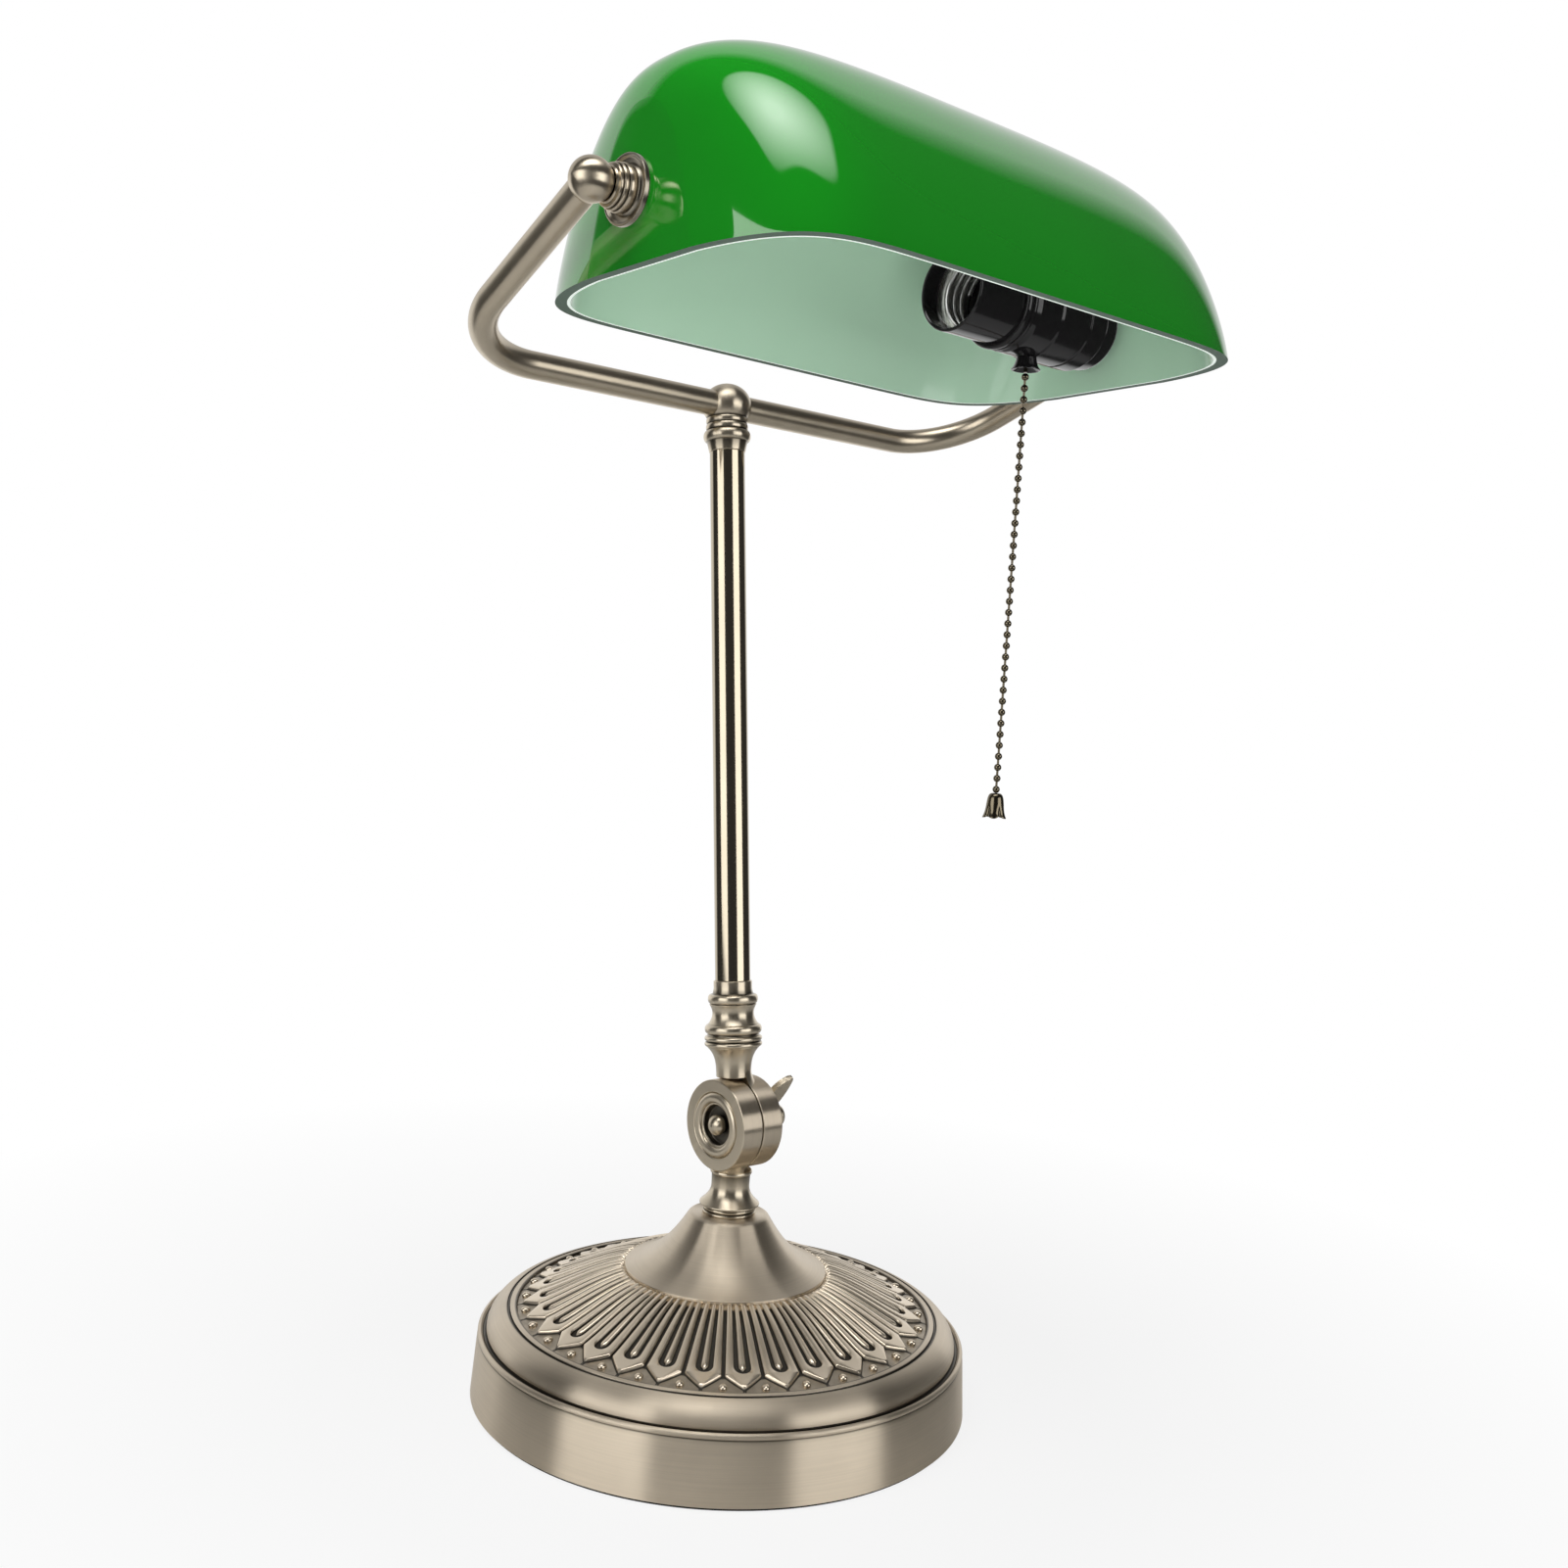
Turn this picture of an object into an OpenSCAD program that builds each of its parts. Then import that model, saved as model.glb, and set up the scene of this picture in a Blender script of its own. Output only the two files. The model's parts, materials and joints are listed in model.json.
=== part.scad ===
/* [Base] */
// Diameter of the round base at the table
base_d = 186; // [150:1:240]
// Height of the side wall, up to its rolled bead
wall_h = 24; // [18:0.5:40]
// How far the wall leans in over its height
wall_draft = 1.6; // [0:0.1:3]
// Width of the rounded shoulder between the wall's groove and the ornament
shoulder_w = 9.8; // [7:0.1:13]
// Rise of the rounded shoulder
shoulder_h = 8.2; // [6:0.1:11]
// Thickness of the spun sheet metal
sheet_t = 1.8; // [1.2:0.1:2.4]
// Thickness of the foot pad
pad_t = 1.2; // [0.8:0.1:3]
// Gap between the iron weight and the wall
weight_gap = 8; // [6:0.5:30]
// Direction of the cord gland, from the right-hand side round to the back
gland_turn = 117; // [60:1:150]
// Diameter of the cord hole in the gland
gland_bore = 5.4; // [4:0.1:6]

/* [Lotus ring] */
// Number of petals around the ornament ring
petals = 32; // [20:1:40]
// Height of the petals above their ground
petal_relief = 0.9; // [0.5:0.1:1.4]
// Thickness of the ornament ring
ring_t = 1.6; // [1.2:0.1:2.4]
// Rise of the ornament from its rim to the foot of the bell
ring_rise = 15.3; // [10:0.1:20]
// Width of the groove between two petals
petal_gap = 1.3; // [0.8:0.1:2]
// Width of the rounded channel inside a petal
channel_w = 5; // [4:0.1:5.6]
// Width of the raised rib inside the channel
rib_w = 2.4; // [1.6:0.1:3]

/* [Bell] */
// Diameter of the bell at its foot
foot_d = 76; // [60:1:88]
// Diameter of the flat top of the bell
bell_top_d = 27; // [24:0.5:40]
// Height of the bell
bell_h = 21.8; // [14:0.2:40]
// Diameter of the threaded stem that draws the base together
stem_d = 10; // [6:0.5:11]

/* [Knuckle] */
// Height of the lower neck, from the bell to the knuckle discs
lower_neck_h = 17.1; // [14:0.1:40]
// Diameter of the two knuckle discs
disc_d = 34; // [28:0.5:44]
// Thickness of each knuckle disc
disc_t = 9.2; // [6:0.1:13]
// Thickness of the friction washer between the discs
washer_t = 0.6; // [0.4:0.1:1.2]
// Diameter of the knuckle bolt
bolt_d = 6; // [4:0.5:7]
// Reach of a wing of the thumb nut from the bolt's axis
wing_reach = 24.5; // [18:0.5:34]
// Direction of the wings, forward from straight up
wing_turn = 25; // [0:1:90]
// Backward lean of the column
lean = 6.4; // [0:0.1:20]

/* [Column] */
// Distance from the knuckle's axis to the yoke bar's axis
column_l = 272.5; // [160:0.5:420]
// Outer diameter of the column tube
tube_d = 13.4; // [11:0.1:18]
// Wall of the column tube
tube_wall = 1.2; // [0.8:0.1:1.6]

/* [Yoke] */
// Diameter of the yoke's bent tube
bar_d = 9.7; // [7:0.1:11]
// Wall of the yoke's bent tube
bar_wall = 1; // [0.6:0.1:1.5]
// Distance from the end of the glass to the middle of a ball
ball_out = 13.4; // [11:0.1:24]
// How much further out the ends of the arms are than the corners
arm_splay = 6.4; // [2:0.1:12]
// Radius of the two bends
bend_r = 34; // [16:0.5:50]
// Gap between the bar and the edge of the shade as it swings past
swing_gap = 3.5; // [2:0.1:30]
// How far the arms rise above the bar
yoke_rise = 37.8; // [20:0.1:60]
// Diameter of the balls at the ends of the arms
ball_d = 13.6; // [12.6:0.1:18]

/* [Shade] */
// Length of the glass shade
shade_l = 225; // [190:0.5:300]
// Width of the glass shade at its rim
shade_w = 139.5; // [110:0.5:180]
// Height of the glass shade above its rim
shade_h = 74.5; // [60:0.5:110]
// Thickness of the green outer glass
glass_t = 2; // [1.5:0.1:2.5]
// Thickness of the opal inner glass
opal_t = 2; // [1.5:0.1:2.5]
// Height of the pivot above the rim
pivot_up = 22.5; // [19:0.5:28]
// Distance of the pivot behind the middle of the shade
pivot_back = 5.6; // [0:0.1:8]
// Tilt of the rim, front edge up
shade_tilt = 2.1; // [-20:0.1:20]
// Diameter of the flanges against the ends of the glass
flange_d = 21.4; // [19:0.1:24]
// Thickness of the flanges
flange_t = 1.6; // [1.2:0.1:2]
// Diameter of the threaded nipples through the glass
nipple_d = 9.6; // [8:0.1:10.4]

/* [Socket] */
// Bore of the bulb's screw shell
shell_bore = 26; // [24:0.1:28]
// Length of the screw shell
shell_l = 16; // [12:0.5:24]
// Depth of the screw shell behind the mouth
shell_in = 7.3; // [2:0.1:12]
// Wall of the screw shell
shell_wall = 0.4; // [0.3:0.1:0.5]
// Wall of the moulded sleeve round the screw shell
sleeve_wall = 1.2; // [1:0.1:1.6]
// How much wider the switch housing is than the sleeve
housing_step = 4.16; // [3:0.02:8]
// Length of the switch housing
housing_l = 40; // [28:0.5:50]
// Wall of the switch housing
housing_wall = 2.2; // [1.6:0.1:3]
// Length of the socket's end cap
cap_end_l = 9.85; // [7:0.05:16]

/* [Pull chain] */
// Distance of the chain from the front end of the switch housing
chain_in = 13.8; // [10:0.1:18]
// Diameter of a bead
bead_d = 2.8; // [2:0.1:3.6]
// Distance from one bead to the next
bead_pitch = 4.15; // [3.8:0.05:6]
// Number of beads
beads = 38; // [8:1:60]
// Diameter of the links between the beads
link_d = 0.9; // [0.7:0.1:1.1]
// Height of the bell at the end of the chain
finial_h = 9.4; // [8:0.1:12]
// Diameter of the lip of that bell
finial_d = 9.4; // [8:0.1:12]

/* [Fits] */
// Radial clearance where a piece turns on a pin
run_gap = 0.06; // [0.04:0.01:0.09]
// Clearance between pieces that are screwed or glued together
seat_gap = 0.02; // [0.01:0.01:0.05]
// Gap between flat faces that move past each other
face_gap = 0.15; // [0.1:0.01:0.3]

/* [Hidden] */
$fn = 64;
brass = [0.60, 0.56, 0.48];
dark_brass = [0.42, 0.38, 0.30];
black = [0.06, 0.06, 0.06];
green = [0.04, 0.42, 0.06];
opal = [0.72, 0.84, 0.75];
iron = [0.30, 0.30, 0.30];
pale_metal = [0.75, 0.77, 0.74];

// Base stack, from the table up
base_r = base_d/2;
bead_r = 1.6;
wall_top_z = pad_t + wall_h;
groove_r = base_r - wall_draft - 2*bead_r;
groove_dip = 0.5;
ring_lip = 0.8;
ring_r = groove_r - shoulder_w - ring_lip;
lip_z = wall_top_z + shoulder_h;
ring_sink = 0.9;
ring_rim_z = lip_z - ring_sink;
foot_r = foot_d/2;
foot_z = ring_rim_z + ring_rise;
seat_z = foot_z - ring_t;
bell_top_z = foot_z + bell_h;
stem_r = stem_d/2;
nut_t = 5;
nut_af = 1.7*stem_d;
stem_washer_t = 1.5;
stem_nut_z = pad_t + 2;
weight_z = stem_nut_z + nut_t + stem_washer_t;
weight_h = wall_top_z - weight_z;
stem_tail = 1.5;
stem_grip = 10;
ring_inner_r = foot_r - 8;
gland_z = pad_t + wall_h/2;
gland_r = gland_bore/2 + 1.6;
gland_flange_r = gland_r + 2;
gland_flange_t = 3;

// Petal outline, measured out from the lamp's middle
petal_tip_r = ring_r - 2.2;
petal_shoulder_r = ring_r - 8;
petal_root_r = foot_r + 2;
channel_end_r = ring_r - 11.5;
dot_r = 0.9;
dot_at = ring_r - 3.2;

// Knuckle
disc_r = disc_d/2;
bolt_r = bolt_d/2;
neck_gap = 0.3;
neck_top_z = bell_top_z + lower_neck_h;
knuckle_z = neck_top_z + neck_gap + disc_r;
disc_in = washer_t/2;
disc_out = disc_in + disc_t;
bead_ring_r = 0.6*disc_r;
cup_r = 0.43*disc_r;
cup_depth = 0.36*disc_t;
head_r = 0.23*disc_r;
hub_r = 7.2;
hub_t = 6.5;
hub_x = disc_out + face_gap;
cap_x = hub_x + hub_t + face_gap;
cap_r = 4.4;
cap_l = 6.5;
wing_t = 2.2;
neck_r = tube_d/2 + 0.6;
neck_foot_r = neck_r - 0.7;
web_fillet = 8;
web_in = 0.6;

// Column and tee, along the leaning axis from the knuckle
tube_r = tube_d/2;
neck_l = disc_r + 36.5;
tee_l = 18;
spigot_l = 11;
spigot_r = tube_r - tube_wall - seat_gap;

bar_r = bar_d/2;
tee_r = bar_r + 3;
tee_dome_r = tee_r + 1.55;

// Yoke, from the tee
yoke_reach = norm([shade_w/2 + pivot_back, pivot_up]) + bar_r + swing_gap;
tee_y = column_l*sin(lean);
tee_z = knuckle_z + column_l*cos(lean);
arm_run = norm([yoke_reach, yoke_rise]);
arm_pitch = atan2(yoke_rise, yoke_reach);
arm_turn = atan2(arm_run, arm_splay);
bend_leg = bend_r*tan(arm_turn/2);
arm_l = norm([arm_run, arm_splay]);
pivot_y = tee_y - yoke_reach;
pivot_z = tee_z + yoke_rise;
shade_half = shade_l/2;
ball_x = shade_half + ball_out;
yoke_half = ball_x - arm_splay;
ball_r = ball_d/2;
ball_flat = ball_r - 1.4;
bend_swell = 0.04;
bend_lap = 1;

// Pivot stack at each end of the shade
wall_t = glass_t + opal_t;
nipple_r = nipple_d/2;
nipple_end_r = nipple_r - 1.6;
nipple_bore_r = nipple_r - 2.6;
arm_grip = nipple_end_r + 0.5;
flange_r = flange_d/2;
bush_r = nipple_r + 1.4;
glass_hole_r = bush_r + 0.2;
collar_start = ball_x - ball_flat;
flange_x = shade_half + flange_t;
collar_end = flange_x + face_gap;
collar_r = ball_r + 0.6;
glass_washer_t = 1.5;
glass_washer_r = flange_r - 0.8;
glass_in_x = shade_half - wall_t;
washer_in_x = glass_in_x - glass_washer_t;
cap_end_x = washer_in_x - face_gap;
lock_nut_t = 4.5;
nipple_tail = 2;

// Socket, along the pivot axis
shell_r = shell_bore/2;
shell_out_r = shell_r + shell_wall;
sleeve_in_r = shell_out_r + seat_gap;
sleeve_r = sleeve_in_r + sleeve_wall;
contact_r = 3.6;
contact_t = 2.2;
contact_sunk = 0.2;
shell_end_gap = 0.3;
insulator_floor = 3;
pocket_depth = contact_t + contact_sunk;
pocket_r = contact_r + 0.8;
insulator_t = insulator_floor + pocket_depth;
housing_r = sleeve_r + housing_step/2;
housing_end_x = cap_end_x - cap_end_l;
housing_x = housing_end_x - housing_l;
insulator_x = housing_x - insulator_t;
shell_end_x = insulator_x - shell_end_gap;
shell_x = shell_end_x - shell_l;
mouth_x = shell_x - shell_in;
clamp_ring_l = 5.5;
clamp_ring_r = housing_r - 0.3;

// Pull chain, down from the pivot axis
chain_x = housing_x + chain_in;
guide_spigot_r = 2.6;
guide_top = housing_r - housing_wall - 0.6;
guide_h = 7;
guide_mouth_r = 5.4;
guide_neck_r = 2.7;
guide_bore_r = 1.1;
plunger_r = 0.7;
plunger_head_r = 2.4;
plunger_head_t = 1.6;
pull_travel = 5;
guide_end = guide_top + guide_h;
plunger_top = guide_top - pull_travel - plunger_head_t - 1;
plunger_end = guide_end + 0.8;
bead_r_chain = bead_d/2;
link_r = link_d/2;
link_gap = 0.25;
top_bead = plunger_end + link_gap + bead_r_chain;

// Points on a cubic curve
function curve(a, b, c, d, n = 10) = [for (i = [0:n]) let (t = i/n, s = 1 - t)
    s*s*s*a + 3*s*s*t*b + 3*s*t*t*c + t*t*t*d];
// Points on an ellipse's arc
function arc(centre, rx, ry, from, to, n = 8) = [for (i = [0:n]) let (w = from + (to - from)*i/n)
    centre + [rx*cos(w), ry*sin(w)]];
// A half-round bead on a turned profile, from height a to height b
function bead(r, swell, a, b) = arc([r, (a + b)/2], swell, (b - a)/2, -90, 90);
function reverse(list) = [for (i = [len(list) - 1:-1:0]) list[i]];

// Ground of the ornament ring at radius r: an ogee from the rim up to the foot of the bell
function ogee(r) = let (u = (ring_r - r)/(ring_r - foot_r))
    ring_rim_z + ring_rise*(0.5*u + 0.5*u*u*(3 - 2*u));
ogee_steps = 5;
function ogee_line(from, to, up) = [for (i = [0:ogee_steps])
    let (r = from + (to - from)*i/ogee_steps) [r, ogee(r) + up]];

module turned(points) rotate_extrude() polygon(points);
module along_x() rotate([0, 90, 0]) children();
module at_knuckle() translate([0, 0, knuckle_z]) children();
module on_column() at_knuckle() rotate([-lean, 0, 0]) children();
module at_tee() translate([0, tee_y, tee_z]) children();
module at_pivot() translate([0, pivot_y, pivot_z]) children();
// In the yoke's plane: X along the bar, Y forward and up along the arms
module in_yoke() at_tee() rotate([180 - arm_pitch, 0, 0]) children();
module in_shade() at_pivot() rotate([-shade_tilt, 0, 0]) translate([0, -pivot_back, -pivot_up]) children();
module ring_of(r_out, r_in, h) difference() {
    cylinder(r = r_out, h = h);
    translate([0, 0, -1]) cylinder(r = r_in, h = h + 2);
}
module hex_nut(flats, r_in, h) difference() {
    cylinder(r = flats/sqrt(3), h = h, $fn = 6);
    translate([0, 0, -1]) cylinder(r = r_in, h = h + 2);
}

module felt_pad() color(black) cylinder(r = base_r - 1.2, h = pad_t);

module base_shell() {
    shoulder_foot = [groove_r - shoulder_w, wall_top_z];
    top = concat(
        [[base_r, pad_t]],
        arc([base_r - wall_draft - bead_r, wall_top_z - bead_r], bead_r, bead_r, 0, 90),
        [[groove_r + groove_dip, wall_top_z - groove_dip], [groove_r, wall_top_z - groove_dip]],
        arc(shoulder_foot, shoulder_w, shoulder_h, 0, 90),
        [[ring_r + seat_gap, lip_z], [ring_r + seat_gap, ring_rim_z - ring_t],
         [ring_r, ring_rim_z - ring_t]],
        ogee_line(ring_r - 1, foot_r, -ring_t),
        [[stem_r + seat_gap, seat_z]]);
    under = concat(
        [[stem_r + seat_gap, seat_z - sheet_t]],
        ogee_line(foot_r, ring_r - sheet_t, -ring_t - sheet_t),
        arc(shoulder_foot, shoulder_w - sheet_t, shoulder_h - sheet_t, 60, 0, 5),
        [[groove_r - sheet_t, wall_top_z - 2*sheet_t],
         [base_r - wall_draft - sheet_t, wall_top_z - 3*sheet_t], [base_r - sheet_t, pad_t]]);
    color(brass) difference() {
        turned(concat(top, under));
        rotate(gland_turn) translate([base_r - 12, 0, gland_z]) along_x()
            cylinder(r = gland_r + seat_gap, h = 20);
    }
}

module base_weight() color(iron) translate([0, 0, weight_z])
    ring_of(base_r - sheet_t - weight_gap, stem_r + seat_gap, weight_h);

// One petal in plan, pointing along +X: two bands round a channel with a rounded end, a rib in the channel
// and a dot beside the tip
function petal_width(r) = 2*r*tan(180/petals) - petal_gap;
function round_end(x, w) = arc([x, 0], w/2, w/2, -90, 90, 4);
module petal_plan() {
    root_share = petal_root_r/petal_shoulder_r;
    root_half = petal_width(petal_root_r)/2;
    shoulder_half = petal_width(petal_shoulder_r)/2;
    channel_root = root_share*channel_w/2;
    rib_root = root_share*rib_w/2;
    polygon(concat([[petal_root_r, -root_half], [petal_shoulder_r, -shoulder_half], [petal_tip_r, 0],
        [petal_shoulder_r, shoulder_half], [petal_root_r, root_half], [petal_root_r, channel_root]],
        reverse(round_end(channel_end_r, channel_w)), [[petal_root_r, -channel_root]]));
    polygon(concat([[petal_root_r, -rib_root]], round_end(channel_end_r - 0.6, rib_w),
        [[petal_root_r, rib_root]]));
    rotate(180/petals) translate([dot_at, 0]) circle(r = dot_r, $fn = 6);
}
module lotus_ring() {
    sunk = 0.4;
    color(dark_brass) {
        turned(concat(ogee_line(ring_r, foot_r, 0), [[ring_inner_r, foot_z], [ring_inner_r, seat_z]],
            ogee_line(foot_r, ring_r - 1, -ring_t), [[ring_r, ring_rim_z - ring_t]]));
        intersection() {
            turned(concat(ogee_line(ring_r - 0.5, foot_r + 0.5, petal_relief),
                ogee_line(foot_r + 0.5, ring_r - 0.5, -sunk)));
            translate([0, 0, ring_rim_z - ring_t]) linear_extrude(ring_rise + 2*ring_t + petal_relief)
                for (i = [0:petals - 1]) rotate(360*i/petals) petal_plan();
        }
    }
}

module bell_cone() {
    lip = 1.2;
    ease = 1.6;
    top_r = bell_top_d/2;
    shoulder = arc([top_r, bell_top_z - ease], 1.3*ease, ease, 26, 90, 5);
    skin = curve([foot_r, foot_z + lip], [0.68*foot_r, foot_z + 0.2*bell_h],
        [0.515*foot_r, foot_z + 0.65*bell_h], shoulder[0]);
    hollow = curve([foot_r - sheet_t, foot_z], [0.68*foot_r - sheet_t, foot_z + 0.2*bell_h - sheet_t],
        [0.515*foot_r - sheet_t, foot_z + 0.65*bell_h - sheet_t], [top_r + 0.4, bell_top_z - sheet_t]);
    color(brass) turned(concat([[foot_r, foot_z]], skin, [for (i = [1:5]) shoulder[i]],
        [[stem_r + seat_gap, bell_top_z], [stem_r + seat_gap, bell_top_z - sheet_t]], reverse(hollow)));
}

module stem_rod() color(iron) translate([0, 0, stem_nut_z - stem_tail])
    cylinder(r = stem_r, h = bell_top_z + stem_grip - stem_nut_z + stem_tail);
module stem_nut() color(iron) translate([0, 0, stem_nut_z]) hex_nut(nut_af, stem_r + seat_gap, nut_t);
module stem_washer() color(iron) translate([0, 0, stem_nut_z + nut_t])
    ring_of(1.5*stem_d, stem_r + seat_gap, stem_washer_t);
module stem_sleeve() color(iron) translate([0, 0, weight_z + weight_h])
    ring_of(stem_r + 2.5, stem_r + seat_gap, seat_z - sheet_t - weight_z - weight_h);

module cord_gland() color(black) rotate(gland_turn) translate([0, 0, gland_z]) along_x() difference() {
    union() {
        translate([0, 0, base_r]) cylinder(r1 = gland_flange_r, r2 = gland_r, h = gland_flange_t);
        translate([0, 0, base_r - 7]) cylinder(r = gland_r, h = 8);
    }
    translate([0, 0, base_r - 8]) cylinder(d = gland_bore, h = 16);
}

// Flare that joins a neck of radius r to its disc, along the neck's axis from the knuckle
function flare(r) = let (f = web_fillet, high = sqrt(pow(disc_r + f, 2) - pow(r + f, 2)),
    low = atan2(high, r + f))
    concat([[0, high]], arc([r + f, high], f, f, 180, 180 + low),
        [[disc_r*cos(low), disc_r/2], [0, disc_r/2]]);

// Turned lower neck with the front disc of the knuckle
module lower_neck() {
    h = neck_top_z - bell_top_z;
    ring = neck_r + 2;
    profile = concat([[0, 0]], bead(ring, 0.8, 0, 1.45), bead(ring, 0.8, 1.6, 3.05),
        [[ring + 1, 3.15], [ring + 2, 3.5]],
        curve([ring + 2, 4], [ring, 5.8], [neck_r - 0.2, 7.6], [neck_r - 0.1, 11]),
        [[neck_r, h - 2.2]], bead(neck_r + 0.1, 0.5, h - 1.9, h - 0.3), [[0, h]]);
    face = concat([[bolt_r + seat_gap, 0], [disc_r, 0], [disc_r, disc_t - 0.5], [disc_r - 0.5, disc_t],
        [bead_ring_r + 2.3, disc_t]], arc([bead_ring_r, disc_t - 0.5], 1.9, 1.1, 0, 180),
        [[cup_r + 0.5, disc_t - 0.6], [cup_r, disc_t - 1.1], [cup_r, disc_t - cup_depth],
         [bolt_r + seat_gap, disc_t - cup_depth]]);
    color(brass) difference() {
        union() {
            translate([0, 0, bell_top_z]) turned(profile);
            at_knuckle() translate([-disc_in, 0, 0]) rotate([0, -90, 0]) turned(face);
            at_knuckle() intersection() {
                rotate([180, 0, 0]) turned(flare(neck_r - 0.1));
                translate([-disc_out + web_in, -disc_r, -disc_d]) cube([disc_t - web_in, disc_d, disc_d]);
            }
        }
        translate([0, 0, bell_top_z - 1]) cylinder(r = stem_r + seat_gap, h = stem_grip + 1.3);
        at_knuckle() along_x() cylinder(r = bolt_r + seat_gap, h = 2*disc_out, center = true);
    }
}
module friction_washer() color(black) at_knuckle() translate([-disc_in, 0, 0]) along_x()
    ring_of(disc_r - 2.5, bolt_r + seat_gap, washer_t - face_gap);
module knuckle_bolt() {
    seat_x = disc_out - cup_depth;
    color(brass) at_knuckle() rotate([0, -90, 0]) {
        translate([0, 0, -cap_x - cap_l + 2]) cylinder(r = bolt_r, h = cap_x + cap_l - 2 + seat_x);
        translate([0, 0, seat_x]) turned(concat([[0, 0], [head_r, 0]],
            arc([0, cup_depth - 1], head_r, head_r*0.7, 0, 90)));
    }
}
// Wing nut: two broad fins sweep out and away from the hub
module thumb_nut() {
    rest = 0.6;
    root = hub_r - 2;
    tip = hub_t + 2.5;
    horn = concat(
        curve([root, rest], [0.53*wing_reach, rest], [0.77*wing_reach, 2.6], [wing_reach, tip]),
        curve([wing_reach - 0.5, tip + 0.3], [0.73*wing_reach, tip - 0.4], [0.49*wing_reach, tip - 0.2],
            [root, hub_t - 0.3]));
    color(brass) at_knuckle() translate([hub_x, 0, 0]) rotate([wing_turn, 0, 0]) difference() {
        union() {
            along_x() cylinder(r1 = hub_r, r2 = hub_r - 0.8, h = hub_t);
            for (side = [0, 180]) rotate([side, 0, 0]) rotate([90, 0, 0]) translate([0, 0, -wing_t/2])
                linear_extrude(wing_t) polygon([for (p = horn) [p[1], p[0]]]);
        }
        translate([-1, 0, 0]) along_x() cylinder(r = bolt_r + run_gap, h = hub_t + 2);
    }
}
module cap_nut() color(brass) at_knuckle() translate([cap_x, 0, 0]) along_x() difference() {
    turned(concat([[0, 0], [cap_r, 0]], arc([0, cap_l - cap_r], cap_r, cap_r, 0, 90)));
    translate([0, 0, -1]) cylinder(r = bolt_r + seat_gap, h = cap_l - 1);
}

// Turned upper neck with the rear disc of the knuckle
module upper_neck() {
    low = disc_r + neck_gap;
    r = neck_r;
    profile = concat([[0, low], [neck_foot_r, low]],
        curve([neck_foot_r, low + 1.5], [neck_foot_r + 0.1, low + 6.2], [r, low + 8.7],
            [r + 2.7, low + 11.4]),
        bead(r + 2.7, 0.9, low + 11.6, low + 13.5), bead(r + 2.7, 0.9, low + 13.7, low + 15.6),
        bead(r + 2.3, 1.2, low + 16.4, low + 19.8),
        curve([r + 2.2, low + 20], [r + 0.7, low + 21.9], [r - 0.3, low + 24.5], [r + 1.7, low + 27.4]),
        bead(r + 1.2, 1, low + 27.7, low + 31.1),
        [[r + 0.4, low + 31.3], [r, low + 33.2], [r, neck_l], [0, neck_l]]);
    color(brass) on_column() difference() {
        union() {
            turned(profile);
            translate([0, 0, low]) cylinder(r = spigot_r, h = neck_l + spigot_l - low);
            translate([disc_in, 0, 0]) along_x() turned([[0, 0], [disc_r, 0], [disc_r, disc_t - 0.5],
                [disc_r - 0.5, disc_t], [0, disc_t]]);
            intersection() {
                turned(flare(neck_foot_r));
                translate([disc_in, -disc_r, 0]) cube([disc_t - web_in, disc_d, disc_d]);
            }
        }
        along_x() cylinder(r = bolt_r + run_gap, h = 3*disc_out, center = true);
    }
}

module column_tube() color(brass) on_column() translate([0, 0, neck_l])
    ring_of(tube_r, tube_r - tube_wall, column_l - tee_l - neck_l);

// Domed tee: the bar passes through it, the spigot enters the column
module tee_fitting() {
    r = tee_r;
    profile = concat([[0, -tee_l]], [[tube_r + 0.2, -tee_l], [tube_r + 1, -14.2]],
        bead(r, 1.2, -14, -10), bead(r - 0.3, 0.5, -9.8, -7.4), bead(r - 0.4, 0.5, -7.2, -4.9),
        arc([0, 0], tee_dome_r, 0.88*tee_dome_r, -34, 90, 12));
    color(brass) on_column() translate([0, 0, column_l]) difference() {
        union() {
            turned(profile);
            translate([0, 0, -tee_l - spigot_l]) cylinder(r = spigot_r, h = spigot_l + 1);
        }
        along_x() cylinder(r = bar_r + seat_gap, h = 4*r, center = true);
    }
}

// The yoke's path as a round rod; the bends are a hair thicker and take the ends of the straight lengths
module yoke_rod(r, longer) {
    straight = yoke_half - bend_leg;
    along_x() cylinder(r = r, h = 2*(straight + bend_lap), center = true);
    for (side = [0, 1]) mirror([side, 0, 0]) translate([straight, bend_r, 0]) rotate(-90) {
        rotate_extrude(angle = arm_turn) translate([bend_r, 0]) circle(r = r + bend_swell);
        rotate(arm_turn) translate([bend_r, -bend_lap, 0]) rotate([-90, 0, 0])
            cylinder(r = r, h = arm_l - bend_leg - arm_grip + bend_lap + longer);
    }
}
module yoke_tube() color(brass) in_yoke() difference() {
    yoke_rod(bar_r, 0);
    yoke_rod(bar_r - bar_wall, 1);
}
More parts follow.
